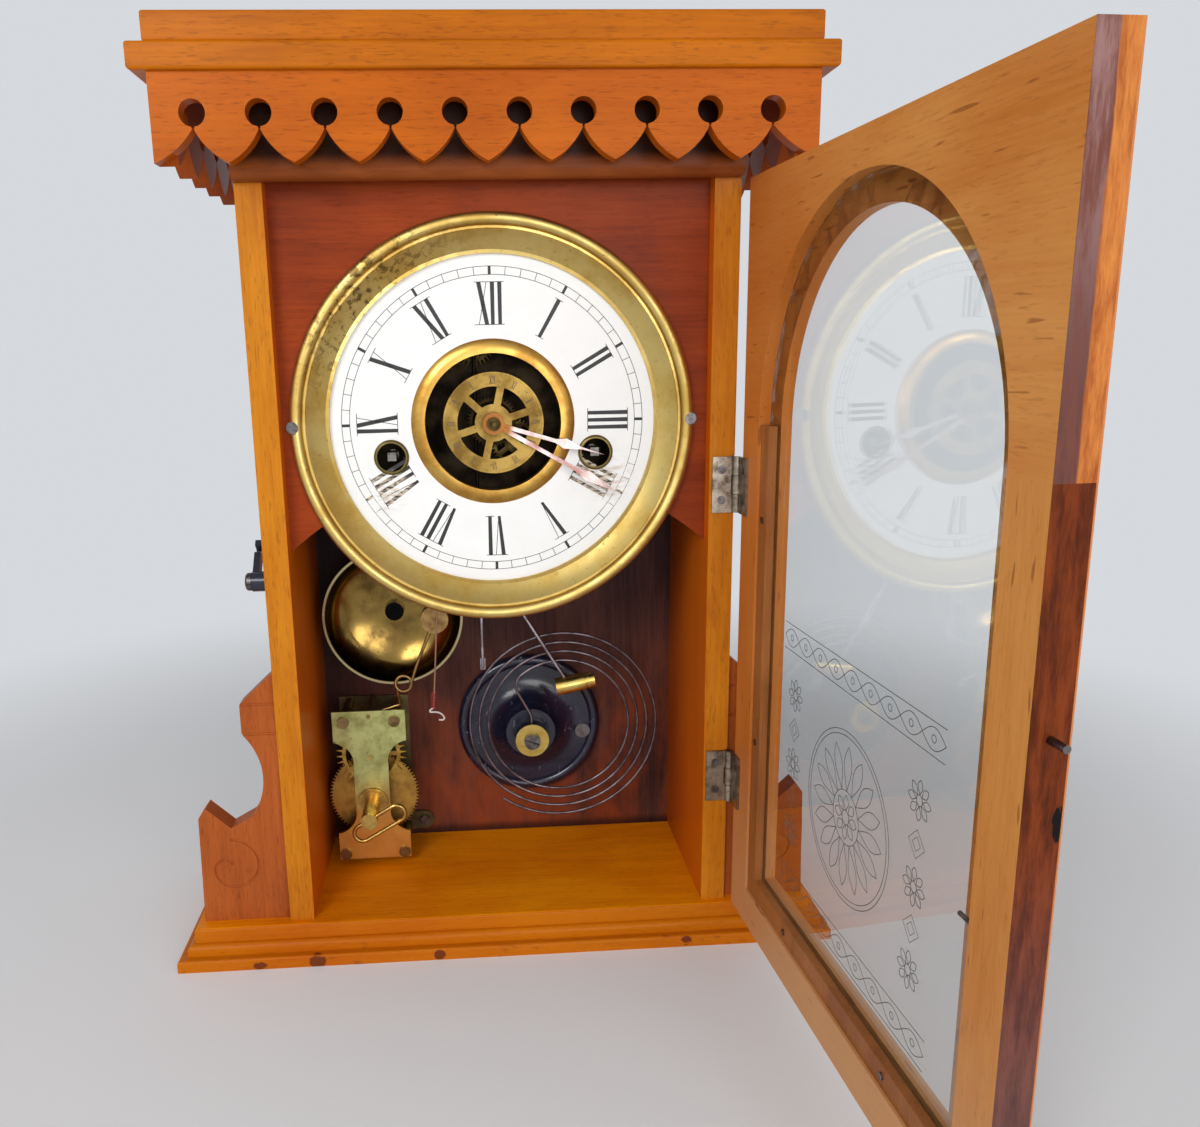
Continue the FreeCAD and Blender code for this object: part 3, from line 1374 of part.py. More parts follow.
def strike_fly():
    arbor = rod_along_y(fly, ARBOR_RADIUS, plate_front - ARBOR_TAIL, arbor_end)
    y0, y1 = pinion_span(second_layer)
    vane_front = back_plate_inside - FLY_PLATE_GAP - FLY_LENGTH
    vane = box(fly[0] - FLY_HALF_SPAN, fly[0] + FLY_HALF_SPAN, vane_front, vane_front + FLY_LENGTH,
               fly[1] - FLY_THICKNESS / 2, fly[1] + FLY_THICKNESS / 2)
    hub = rod_along_y(fly, FLY_HUB_RADIUS, vane_front, vane_front + FLY_LENGTH)
    bars = lantern(fly, FLY_PINION_TEETH, SECOND_MODULE, bearing(fly, strike_second), y0, y1)
    return join([arbor, vane, hub] + bars)


def verge_crutch():
    """Pallet strip over the escape wheel, with a wire that carries the pendulum's fork."""
    arbor = rod_along_y(verge, VERGE_RADIUS, crutch_y, plate_inside + ARBOR_TAIL)
    hub = rod_along_y(verge, VERGE_HUB_RADIUS, escape_front, escape_back)
    pieces = [arbor, hub]
    for side in (-1, 1):
        reach = polar(escape, ESCAPE_RADIUS + PALLET_GAP, 90.0 + side * PALLET_ANGLE)
        elbow = (verge[0] + (reach[0] - verge[0]) * ANCHOR_ELBOW_OUT,
                 verge[1] + (reach[1] - verge[1]) * ANCHOR_ELBOW_DROP)
        pieces.append(bar(verge, elbow, ANCHOR_WIDTH, escape_front, escape_back))
        pieces.append(rod_along_y(elbow, ANCHOR_ELBOW_RADIUS, escape_front, escape_back))
        pieces.append(bar(elbow, reach, ANCHOR_WIDTH, escape_front, escape_back))
    low = verge[1] - CRUTCH_LENGTH
    pieces.append(rod_between((verge[0], crutch_y, verge[1]), (verge[0], crutch_y, low), CRUTCH_RADIUS))
    half = FORK_BAR_WIDTH / 2
    pieces.append(box(verge[0] - FORK_HALF_WIDTH, verge[0] + FORK_HALF_WIDTH,
                      crutch_y - half, crutch_y + half, low - half, low + half))
    for side in (-1, 1):
        prong = (verge[0] + side * FORK_HALF_WIDTH, low)
        pieces.append(rod_along_y(prong, FORK_RADIUS, rod_y - 2 * ROD_RADIUS, crutch_y + CRUTCH_RADIUS))
    return join(pieces)


def pendulum_rod():
    x, top = pendulum_pivot
    strip = box(x - STRIP_THICKNESS / 2, x + STRIP_THICKNESS / 2,
                rod_y - STRIP_WIDTH / 2, rod_y + STRIP_WIDTH / 2, top - STRIP_LENGTH, top)
    bottom = top - ROD_LENGTH
    rod = Part.makeCylinder(ROD_RADIUS, ROD_LENGTH - STRIP_LENGTH + STRIP_LAP, V(x, rod_y, bottom))
    half = ROD_HOOK_WIDTH / 2
    flat = box(x - half, x + half, rod_y - ROD_RADIUS / 2, rod_y + ROD_RADIUS / 2,
               bottom, bottom + ROD_HOOK_LENGTH)
    return join([strip, rod, flat])


# Bell and gong
def bell_at(middle, radius, turn):
    """Point of the bell's profile on an arc, turned from its axis towards its rim."""
    angle = math.radians(turn)
    return (middle[0] + radius * math.sin(angle), middle[1] + radius * math.cos(angle))


def bell_face(inset):
    """One face of the bell from its flat to its neck: a dome and a side that meet smoothly."""
    dome = (BELL_FLAT_RADIUS, bell_back - BELL_DOME_CURVE)
    shoulder = BELL_RADIUS - BELL_SHOULDER
    turn = math.degrees(math.asin((shoulder - BELL_FLAT_RADIUS) / BELL_DOME_CURVE))
    meet = bell_at(dome, BELL_DOME_CURVE, turn)
    neck = (BELL_RADIUS - BELL_RIM, bell_rim + BELL_NECK)
    fall = math.degrees(math.atan2(meet[1] - neck[1], neck[0] - meet[0])) - turn
    side_curve = math.dist(meet, neck) / (2 * math.sin(math.radians(fall)))
    side = bell_at(dome, BELL_DOME_CURVE - side_curve, turn)
    return (
        (BELL_FLAT_RADIUS, bell_back - inset),
        bell_at(dome, BELL_DOME_CURVE - inset, turn / 2),
        bell_at(dome, BELL_DOME_CURVE - inset, turn),
        bell_at(side, side_curve - inset, turn + fall),
        bell_at(side, side_curve - inset, turn + 2 * fall),
    )


def alarm_bell():
    """Thin bowl open to the front, with a small flat for its post."""
    stud = BELL_STUD_RADIUS + HOLE_CLEARANCE
    outside = bell_face(0)
    inside = bell_face(BELL_THICKNESS)
    steps = [
        ((stud, bell_back),),
        (outside[0],),
        (outside[1], outside[2]),
        (outside[3], outside[4]),
        ((BELL_RADIUS, bell_rim + BELL_RIM_HEIGHT),),
        ((BELL_RADIUS, bell_rim),),
        ((inside[4][0], bell_rim),),
        (inside[4],),
        (inside[3], inside[2]),
        (inside[1], inside[0]),
        ((stud, bell_back - BELL_THICKNESS),),
    ]
    return turned((bell_x, bell_z), steps)


def bell_post():
    place = (bell_x, bell_z)
    nut_back = bell_back - BELL_THICKNESS
    return join([
        rod_along_y(place, BELL_POST_RADIUS, bell_back, wall),
        rod_along_y(place, BELL_STUD_RADIUS, nut_back - BELL_NUT_HEIGHT - BELL_STUD_TIP,
                    wall + SCREW_SHANK_LENGTH),
        rod_along_y(place, BELL_NUT_RADIUS, nut_back - BELL_NUT_HEIGHT, nut_back),
    ])


mount_screw = polar((gong_x, gong_z), gong_radius - MOUNT_SCREW_INSET, MOUNT_SCREW_ANGLE)
gong_dish_y = wall - GONG_DISH_HEIGHT


def gong_base():
    """Cast stand: raised rim, shallow dish, cone and a square block that holds the coil."""
    place = (gong_x, gong_z)
    rim_y = wall - GONG_RIM_HEIGHT
    rim_in = (gong_radius + gong_dish_radius) / 2
    steps = [
        ((0, wall),),
        ((gong_radius, wall),),
        ((gong_radius, rim_y + GONG_RIM_CROWN),),
        ((gong_radius - GONG_RIM_WIDTH, rim_y - GONG_RIM_CROWN), (rim_in, gong_dish_y)),
        ((gong_dish_radius, gong_dish_y),),
        ((GONG_CONE_RADIUS + GONG_CONE_FLARE, wall - GONG_CONE_HEIGHT / 2),
         (GONG_CONE_RADIUS, wall - GONG_CONE_HEIGHT)),
        ((GONG_BOSS_RADIUS, wall - GONG_CONE_HEIGHT),),
        ((GONG_BOSS_RADIUS, block_back),),
        ((0, block_back),),
    ]
    half = GONG_BLOCK / 2
    block = box(gong_x - half, gong_x + half, block_front, block_back, gong_z - half, gong_z + half)
    stand = join([turned(place, steps), block])
    shank = SCREW_SHANK_RADIUS + HOLE_CLEARANCE
    return stand.cut([
        rod_along_y(place, shank, block_front, block_front + SCREW_SHANK_LENGTH),
        rod_along_y(mount_screw, shank, gong_dish_y, wall),
        rod_along_y(mount_screw, MOUNT_SCREW_RADIUS + HOLE_CLEARANCE, block_front, gong_dish_y),
    ])


def gong_washer():
    shank = SCREW_SHANK_RADIUS + HOLE_CLEARANCE
    return tube_along_y((gong_x, gong_z), WASHER_RADIUS, shank, washer_front, block_front)


def rounded_corner(before, here, after, radius):
    """Start, middle and end of the arc that rounds a corner."""
    back = bearing(here, before)
    ahead = bearing(here, after)
    half = abs((ahead - back + 180.0) % 360.0 - 180.0) / 2
    tangent = radius / math.tan(math.radians(half))
    reach = radius / math.sin(math.radians(half))
    middle = ((polar((0, 0), 1, back)[0] + polar((0, 0), 1, ahead)[0]),
              (polar((0, 0), 1, back)[1] + polar((0, 0), 1, ahead)[1]))
    inward = bearing((0, 0), middle)
    return polar(here, tangent, back), polar(here, reach - radius, inward), polar(here, tangent, ahead)


def coil_edges():
    """Centre line of the gong wire: quarter arcs inward, then a curl down to the block."""
    shrink = COIL_PITCH / 4
    place = (coil_x - shrink / 2, coil_z + shrink / 2)
    arcs = spiral_arcs(place, 2, COIL_QUARTER_COUNT + 1, coil_radius, shrink)
    edges = [arc_edge(arcs[0], 0, coil_y, COIL_START_ANGLE, 270.0)]
    edges += [arc_edge(arc, 0, coil_y, arc[2], arc[2] + 90.0) for arc in arcs[1:-1]]
    last_place, last_radius, last_start = arcs[-1]
    leave = last_start + COIL_CURL_ANGLE
    edges.append(arc_edge(arcs[-1], 0, coil_y, last_start, leave))
    start = polar(last_place, last_radius, leave)
    corner = polar(start, CURL_REACH, leave + 90.0)
    end = (gong_x, gong_z + GONG_BLOCK / 2)
    ease = (gong_x, end[1] + CURL_STRAIGHT)
    curl = rounded_corner(start, corner, ease, CURL_RADIUS)
    drop = rounded_corner(corner, ease, end, CURL_EASE)
    points = [V(x, coil_y, z) for x, z in (start,) + curl + drop + (end,)]
    edges.append(Part.LineSegment(points[0], points[1]).toShape())
    edges.append(Part.Arc(points[1], points[2], points[3]).toShape())
    edges.append(Part.LineSegment(points[3], points[4]).toShape())
    edges.append(Part.Arc(points[4], points[5], points[6]).toShape())
    edges.append(Part.LineSegment(points[6], points[7]).toShape())
    return edges


def gong_coil():
    path = Part.Wire(coil_edges())
    start = path.Edges[0]
    direction = start.tangentAt(start.FirstParameter)
    point = start.valueAt(start.FirstParameter)
    section = Part.Wire(Part.makeCircle(COIL_WIRE_RADIUS, point, direction))
    return path.makePipeShell([section], True, False)


def coil_gap():
    """Least gap between turns of the gong wire."""
    points = []
    travelled = 0.0
    for edge in coil_edges():
        steps = max(3, int(edge.Length))
        for point in edge.discretize(steps)[:-1]:
            points.append((travelled, point))
            travelled += edge.Length / (steps - 1)
    least = coil_radius
    apart = 4 * COIL_PITCH
    for index, (here, a) in enumerate(points):
        for there, b in points[index + 1:]:
            if there - here > apart:
                least = min(least, a.distanceToPoint(b))
    return least - 2 * COIL_WIRE_RADIUS


head_left = polar(hammer_head, HAMMER_HEAD_LENGTH / 2, HAMMER_HEAD_TILT + 180.0)
head_right = polar(hammer_head, HAMMER_HEAD_LENGTH / 2, HAMMER_HEAD_TILT)


def at_hammer(place):
    return (place[0], hammer_y, place[1])


def gong_hammer_head():
    """Brass cylinder with a groove and a leather tip, drilled for the arm."""
    groove = polar(hammer_head, HAMMER_HEAD_LENGTH / 4, HAMMER_HEAD_TILT)
    groove_end = polar(groove, HAMMER_GROOVE * 2, HAMMER_HEAD_TILT)
    tip = polar(head_right, HAMMER_TIP, HAMMER_HEAD_TILT + 180.0)
    body = rod_between(at_hammer(head_left), at_hammer(tip), HAMMER_HEAD_RADIUS)
    core = HAMMER_HEAD_RADIUS - HAMMER_GROOVE
    ring_cut = rod_between(at_hammer(groove), at_hammer(groove_end), HAMMER_HEAD_RADIUS + HAMMER_GROOVE)
    ring_cut = ring_cut.cut(rod_between(at_hammer(groove), at_hammer(groove_end), core))
    pad = rod_between(at_hammer(tip), at_hammer(head_right), core)
    return join([body.cut(ring_cut), pad]).cut(hammer_arm_wire(HOLE_CLEARANCE))


def hammer_arm_wire(clearance):
    entry = polar(hammer_head, HAMMER_ENTRY, HAMMER_HEAD_TILT + 180.0)
    bend = (dial_x + HAMMER_BEND_RIGHT, dial_z - HAMMER_BEND_DROP)
    points = [at_hammer(place) for place in (hammer_arbor, bend, entry)]
    return bent_rod(points, HAMMER_ARM_RADIUS + clearance)


def gong_hammer_arm():
    arbor = rod_along_y(hammer_arbor, ARBOR_RADIUS, plate_front - ARBOR_TAIL, arbor_end)
    hub_front = hammer_y - HAMMER_HUB_RADIUS
    hub = rod_along_y(hammer_arbor, HAMMER_HUB_RADIUS, hub_front, hammer_y + HAMMER_HUB_RADIUS)
    tail_end = polar(hammer_arbor, HAMMER_TAIL_LENGTH, HAMMER_TAIL_ANGLE)
    tail = bar(hammer_arbor, tail_end, HAMMER_TAIL_WIDTH,
               hammer_y - HAMMER_ARM_RADIUS, hammer_y + HAMMER_ARM_RADIUS)
    return join([arbor, hub, tail, hammer_arm_wire(0)])


# Alarm movement
def alarm_pillar_places():
    half = ALARM_PLATE_WIDTH / 2
    high = alarm_top - ALARM_PILLAR_INSET
    low = alarm_bottom + ALARM_FOOT_PILLAR_INSET
    out = half - ALARM_PILLAR_INSET
    foot = half - ALARM_FOOT_PILLAR_INSET
    return [(alarm_x - out, high), (alarm_x + out, high), (alarm_x - foot, low), (alarm_x + foot, low)]


alarm_bore = ALARM_ARBOR_RADIUS + RUNNING_CLEARANCE


def alarm_holes(y0, y1):
    cuts = [rod_along_y(alarm_main, alarm_bore, y0, y1)]
    for place in (alarm_escape, alarm_verge):
        cuts.append(rod_along_y(place, arbor_hole, y0, y1))
    for place in alarm_pillar_places():
        cuts.append(rod_along_y(place, PILLAR_STUD_RADIUS + HOLE_CLEARANCE, y0, y1))
    return cuts


def hollow_middle(corner, tip):
    """Middle point of a hollow quarter round between a broad corner and the waist."""
    across = corner[0] + (tip[0] - corner[0]) * math.sqrt(0.5)
    upward = tip[1] + (corner[1] - tip[1]) * math.sqrt(0.5)
    return (across, upward)


def alarm_front_plate():
    """Plate with a broad head, a narrow waist and a broad foot, hollow at their corners."""
    half = ALARM_PLATE_WIDTH / 2
    waist = ALARM_WAIST_WIDTH / 2
    head = alarm_top - ALARM_HEAD_HEIGHT
    foot = alarm_bottom + ALARM_FOOT_HEIGHT
    low = (waist, foot + ALARM_WAIST_SLOPE)
    high = (waist, head - ALARM_WAIST_SLOPE)
    right = [((half, foot),), (hollow_middle((half, foot), low), low), (high,),
             (hollow_middle((half, head), high), (half, head)), ((half, alarm_top),)]
    left = [((half, alarm_top),), ((half, head),), (hollow_middle((half, head), high), high), (low,),
            (hollow_middle((half, foot), low), (half, foot)), ((half, alarm_bottom),)]
    start = (alarm_x + half, alarm_bottom)
    steps = [[(alarm_x + x, z) for x, z in step] for step in right]
    steps += [[(alarm_x - x, z) for x, z in step] for step in left]
    steps.append([start])
    plate = slab([outline(start, steps, alarm_front)], alarm_front, alarm_inside)
    return plate.cut(alarm_holes(alarm_front, alarm_inside))


alarm_ear = (alarm_x + ALARM_PLATE_WIDTH / 2 + ALARM_EAR_OUT / 2, alarm_bottom + ALARM_EAR_RADIUS)


def alarm_back_plate():
    """Plate against the back board, with an ear for a screw."""
    half = ALARM_PLATE_WIDTH / 2
    plate = box(alarm_x - half, alarm_x + half, alarm_back, wall, alarm_bottom, alarm_top - ALARM_STRIP_DROP)
    tongue = box(alarm_x, alarm_ear[0], alarm_back, wall, alarm_bottom, alarm_bottom + 2 * ALARM_EAR_RADIUS)
    ear = rod_along_y(alarm_ear, ALARM_EAR_RADIUS, alarm_back, wall)
    shank = SCREW_SHANK_RADIUS + HOLE_CLEARANCE
    return join([plate, tongue, ear]).cut(
        alarm_holes(alarm_back, wall) + [rod_along_y(alarm_ear, shank, alarm_back, wall)])


def alarm_pillars():
    pillars = []
    for place in alarm_pillar_places():
        pillars.append(join([
            rod_along_y(place, ALARM_NUT_RADIUS, alarm_front - ALARM_NUT_HEIGHT, alarm_front),
            rod_along_y(place, PILLAR_STUD_RADIUS, alarm_front, alarm_inside),
            rod_along_y(place, ALARM_PILLAR_RADIUS, alarm_inside, alarm_back),
            rod_along_y(place, PILLAR_STUD_RADIUS, alarm_back, wall),
        ]))
    return Part.makeCompound(pillars)


def alarm_main_wheel():
    wires = [teeth_outline(alarm_main, ALARM_MAIN_TEETH, ALARM_MODULE, 90.0, alarm_main_y)]
    wires.append(circle(alarm_main, alarm_bore, alarm_main_y))
    gear = slab(wires, alarm_main_y, alarm_main_y + WHEEL_THICKNESS)
    sleeve = tube_along_y(alarm_main, ALARM_SLEEVE_RADIUS, alarm_bore,
                          alarm_main_y, alarm_main_y + 2 * WHEEL_THICKNESS)
    return join([gear, sleeve])


def alarm_escape_wheel():
    arbor_back = alarm_back + ALARM_PLATE_THICKNESS / 2
    arbor = rod_along_y(alarm_escape, ARBOR_RADIUS, alarm_front - ARBOR_TAIL, arbor_back)
    wires = [pointed_outline(alarm_escape, ALARM_ESCAPE_RADIUS, ALARM_TOOTH_DEPTH, ALARM_ESCAPE_TEETH,
                             ALARM_TOOTH_LEAN, alarm_escape_y)]
    rim = ALARM_ESCAPE_RADIUS - ALARM_ESCAPE_RIM
    wires += windows(alarm_escape, WHEEL_HUB, rim, WHEEL_SPOKE_COUNT, SPOKE_WIDTH, alarm_escape_y)
    disc = slab(wires, alarm_escape_y, alarm_escape_y + WHEEL_THICKNESS)
    middle = alarm_main_y + WHEEL_THICKNESS / 2
    y0 = middle - PINION_LENGTH / 2
    y1 = middle + PINION_LENGTH / 2
    bars = lantern(alarm_escape, ALARM_PINION_TEETH, ALARM_MODULE, -90.0, y0, y1)
    return join([arbor, disc] + bars)


key_tip = alarm_front - KEY_TIP_LENGTH
collar_back = alarm_front - KEY_COLLAR_GAP
collar_front = collar_back - KEY_COLLAR_THICKNESS


def alarm_key():
    """Winding stud on the alarm arbor, with a wire loop through its end."""
    arbor = rod_along_y(alarm_main, ALARM_ARBOR_RADIUS, collar_front, alarm_back + ALARM_PLATE_THICKNESS / 2)
    stud = rod_along_y(alarm_main, KEY_STUD_RADIUS, key_tip, collar_front)
    collar = rod_along_y(alarm_main, KEY_COLLAR_RADIUS, collar_front, collar_back)
    half = KEY_LOOP_WIDTH / 2
    run = (KEY_LOOP_LENGTH - KEY_LOOP_WIDTH) / 2
    along = polar(alarm_main, KEY_LOOP_SHIFT, KEY_LOOP_TILT)
    middle = polar(along, half, KEY_LOOP_TILT - 90.0)
    ends = [polar(middle, run, KEY_LOOP_TILT), polar(middle, run, KEY_LOOP_TILT + 180.0)]
    loop_y = key_tip + KEY_LOOP_SETBACK
    pieces = [arbor, stud, collar]
    for side in (-90.0, 90.0):
        sides = [polar(end, half, KEY_LOOP_TILT + side) for end in ends]
        first, last = [(x, loop_y, z) for x, z in sides]
        pieces.append(rod_between(first, last, KEY_LOOP_RADIUS))
    for end, turn in zip(ends, (KEY_LOOP_TILT - 90.0, KEY_LOOP_TILT + 90.0)):
        curve = Part.makeTorus(half, KEY_LOOP_RADIUS, V(0, 0, 0), V(0, -1, 0))
        keep = Part.makeBox(2 * half, 4 * half, 4 * half, V(0, -2 * half, -2 * half))
        keep.rotate(V(0, 0, 0), V(0, -1, 0), turn + 90.0)
        arch = curve.common(keep)
        arch.translate(V(end[0], loop_y, end[1]))
        pieces.append(arch)
    return join(pieces)


bell_hammer = (bell_x + BELL_HAMMER_OUT, bell_z - BELL_HAMMER_DROP)
bell_hammer_y = bell_rim - BELL_HAMMER_RIM_GAP


def alarm_hammer():
    """Verge with two pallets over the alarm's escape wheel, and a bent wire up to the bell."""
    arbor_back = alarm_back + ALARM_PLATE_THICKNESS / 2
    arbor = rod_along_y(alarm_verge, ARBOR_RADIUS, alarm_front - ARBOR_TAIL, arbor_back)
    pieces = [arbor]
    y0 = alarm_escape_y
    y1 = alarm_escape_y + WHEEL_THICKNESS
    for side in (-1, 1):
        reach = polar(alarm_escape, ALARM_ESCAPE_RADIUS + PALLET_GAP, 90.0 + side * ALARM_PALLET_ANGLE)
        elbow = (alarm_verge[0] + (reach[0] - alarm_verge[0]) * ANCHOR_ELBOW_OUT, alarm_verge[1])
        pieces.append(bar(alarm_verge, elbow, ANCHOR_WIDTH, y0, y1))
        pieces.append(rod_along_y(elbow, ANCHOR_ELBOW_RADIUS, y0, y1))
        pieces.append(bar(elbow, reach, ANCHOR_WIDTH, y0, y1))
    arm_y = alarm_inside + BELL_HAMMER_ARM_GAP
    loop = (alarm_x + BELL_HAMMER_LOOP_OUT, bell_hammer_y, alarm_verge[1] + BELL_HAMMER_LOOP_RISE)
    points = [
        (alarm_verge[0], arm_y, alarm_verge[1]),
        (alarm_x + BELL_HAMMER_ELBOW_OUT, arm_y, alarm_verge[1] + BELL_HAMMER_ELBOW_RISE),
        (loop[0] - BELL_HAMMER_LOOP_RADIUS, bell_hammer_y, loop[2]),
    ]
    pieces.append(bent_rod(points, BELL_HAMMER_WIRE))
    pieces.append(Part.makeTorus(BELL_HAMMER_LOOP_RADIUS, BELL_HAMMER_WIRE, V(*loop), ALONG_Y))
    knee = (alarm_x + BELL_HAMMER_KNEE_OUT, bell_hammer_y, alarm_verge[1] + BELL_HAMMER_KNEE_RISE)
    leave = polar((loop[0], loop[2]), BELL_HAMMER_LOOP_RADIUS, -45.0)
    start = (leave[0], bell_hammer_y, leave[1])
    pieces.append(bent_rod([start, knee, (bell_hammer[0], bell_hammer_y, bell_hammer[1])], BELL_HAMMER_WIRE))
    head_front = bell_hammer_y - BELL_HAMMER_WIRE - BELL_HAMMER_COVER
    head_back = head_front + BELL_HAMMER_THICKNESS
    pieces.append(rod_along_y(bell_hammer, BELL_HAMMER_RADIUS, head_front, head_back))
    return join(pieces)


def alarm_cord():
    """Thin hanging cord with a knot at its end."""
    spline = Part.BSplineCurve()
    spline.interpolate([V(*point) for point in CORD_ROUTE])
    path = Part.Wire(spline.toShape())
    direction = spline.tangent(spline.FirstParameter)[0]
    section = Part.Wire(Part.makeCircle(CORD_RADIUS, V(*CORD_ROUTE[0]), direction))
    cord = path.makePipeShell([section], True, False)
    end = CORD_ROUTE[-1]
    knot = Part.makeSphere(CORD_KNOT_RADIUS,
                           V(end[0], end[1], end[2] + CORD_KNOT_LAP - CORD_KNOT_RADIUS))
    return join([cord, knot])


# Door
def opened(shape):
    """Swing a piece of the closed door to where the door stands open."""
    shape.rotate(V(hinge_x, hinge_y, 0), ALONG_Z, DOOR_OPEN_ANGLE)
    return shape


def arch_wire(radius, foot, y):
    """Wire of an opening with a round head."""
    start = (door_middle - radius, foot)
    steps = (
        ((door_middle - radius, door_spring),),
        ((door_middle, door_spring + radius), (door_middle + radius, door_spring)),
        ((door_middle + radius, foot),),
        (start,),
    )
    return outline(start, steps, y)


def door_head():
    block = box(door_left, door_right, door_outer, door_inner, door_spring, door_top)
    foot = door_bottom
    return opened(block.cut([
        slab([arch_wire(door_opening, foot, door_lip_y)], door_lip_y, door_inner),
        slab([arch_wire(door_sight, foot, door_outer)], door_outer, door_lip_y),
    ]))


def door_stile(edge, inward):
    """Upright of the door from one edge, with a lip in front of the glass."""
    full = sorted((edge, edge + inward * DOOR_STILE_WIDTH))
    lip = sorted((full[0], full[1], edge + inward * (DOOR_STILE_WIDTH + DOOR_LIP_WIDTH)))
    upright = box(full[0], full[1], door_outer, door_inner, door_bottom, door_spring)
    edge_lip = box(lip[0], lip[2], door_outer, door_lip_y, door_sill + DOOR_LIP_WIDTH, door_spring)
    return join([upright, edge_lip])


def catch_pin(clearance):
    """Pin in the free edge of the door."""
    return rod_along_x(catch_y, catch_z, CATCH_RADIUS + clearance,
                       door_left - CATCH_LENGTH, door_left + CATCH_DEPTH)


def glass_brad():
    """Brad in the free stile that holds the glass on the side with no bead."""
    wall = door_middle - door_opening
    return rod_along_x(glass_back + BRAD_GAP + BRAD_RADIUS, door_sill + BRAD_RISE, BRAD_RADIUS,
                       wall - BRAD_DEPTH, wall + BRAD_LENGTH)


def door_hinge_stile():
    return opened(door_stile(door_right, -1).cut(door_hinge_screws(HOLE_CLEARANCE)))


def door_free_stile():
    return opened(door_stile(door_left, 1).cut([catch_pin(0), glass_brad()]))


def door_bottom_rail():
    left = door_middle - door_opening
    right = door_middle + door_opening
    rail = box(left, right, door_outer, door_inner, door_bottom, door_sill)
    lip = box(left, right, door_outer, door_lip_y, door_sill, door_sill + DOOR_LIP_WIDTH)
    return opened(join([rail, lip]))


def door_glass():
    pane = arch_wire(door_opening - GLASS_CLEARANCE, door_sill + GLASS_CLEARANCE, door_lip_y)
    return opened(slab([pane], door_lip_y, glass_back))


def bead_nail_places():
    upper = door_spring - BEAD_NAIL_DROP
    lower = door_sill + BEAD_NAIL_RISE
    side = door_opening - BEAD_WIDTH / 2
    return [
        (door_middle + side, upper),
        (door_middle + side, lower),
        (door_middle + door_opening / 2, door_sill + BEAD_WIDTH / 2),
        (door_middle - door_opening / 2, door_sill + BEAD_WIDTH / 2),
    ]


bead_back = glass_back + BEAD_THICKNESS


def door_beads():
    left = door_middle - door_opening
    right = door_middle + door_opening
    low = door_sill + BEAD_WIDTH
    beads = [
        box(right - BEAD_WIDTH, right, glass_back, bead_back, low, door_spring),
        box(left, right, glass_back, bead_back, door_sill, low),
    ]
    holes = [rod_along_y(place, BEAD_NAIL_SHANK, glass_back, bead_back) for place in bead_nail_places()]
    return opened(Part.makeCompound([bead.cut(holes) for bead in beads]))


def door_nails():
    """Bead nails, hinge screws, catch pin and glass brad of the door."""
    nails = []
    for place in bead_nail_places():
        head = rod_along_y(place, BEAD_NAIL_RADIUS, bead_back, bead_back + BEAD_NAIL_HEIGHT)
        nails.append(head.fuse(rod_along_y(place, BEAD_NAIL_SHANK, glass_back, bead_back)))
    return opened(Part.makeCompound(nails + door_hinge_screws(0) + [catch_pin(0), glass_brad()]))


# Hinges
def knuckle(z0, z1):
    bore = HINGE_PIN_RADIUS + RUNNING_CLEARANCE
    barrel = Part.makeCylinder(HINGE_BARREL_RADIUS, z1 - z0, V(hinge_x, hinge_y, z0))
    return barrel, Part.makeCylinder(bore, z1 - z0, V(hinge_x, hinge_y, z0))


def hinge_bands(height):
    """Heights of the three knuckles of a hinge."""
    low = height - HINGE_LENGTH / 2
    third_part = HINGE_LENGTH / 3
    gap = HINGE_KNUCKLE_GAP / 2
    return [(low + index * third_part + gap, low + (index + 1) * third_part - gap) for index in range(3)]


def leaf(height, y0, y1, bands, other):
    """Leaf of a hinge with its own knuckles, cut clear of the other leaf's knuckles."""
    low = height - HINGE_LENGTH / 2
    plate = box(hinge_x - HINGE_LEAF_WIDTH, hinge_x, y0, y1, low, low + HINGE_LENGTH)
    pieces = [plate]
    bores = []
    for z0, z1 in bands:
        barrel, bore = knuckle(z0, z1)
        pieces.append(barrel)
        bores.append(bore)
    room = HINGE_BARREL_RADIUS + HINGE_LEAF_GAP
    for z0, z1 in other:
        gap = HINGE_KNUCKLE_GAP
        bores.append(Part.makeCylinder(room, z1 - z0 + 2 * gap, V(hinge_x, hinge_y, z0 - gap)))
    return join(pieces).cut(bores)


def hinge_case_leaves():
    leaves = []
    for height in hinge_heights:
        low, middle, high = hinge_bands(height)
        plate = leaf(height, front - HINGE_LEAF_THICKNESS, front, (low, high), (middle,))
        leaves.append(plate.cut(case_hinge_screws(HOLE_CLEARANCE)))
        low = V(hinge_x, hinge_y, height - HINGE_LENGTH / 2)
        pin = Part.makeCylinder(HINGE_PIN_RADIUS, HINGE_LENGTH, low)
        leaves.append(pin)
    return Part.makeCompound(leaves)


def hinge_door_leaves():
    leaves = []
    for height in hinge_heights:
        low, middle, high = hinge_bands(height)
        plate = leaf(height, door_inner, door_inner + HINGE_LEAF_THICKNESS, (middle,), (low, high))
        leaves.append(plate.cut(door_hinge_screws(HOLE_CLEARANCE)))
    return opened(Part.makeCompound(leaves))


# Latch
latch_arm_out = -case_half - LATCH_STANDOFF - LATCH_THICKNESS
latch_reach = math.hypot(catch_y - latch_y, catch_z - latch_z)


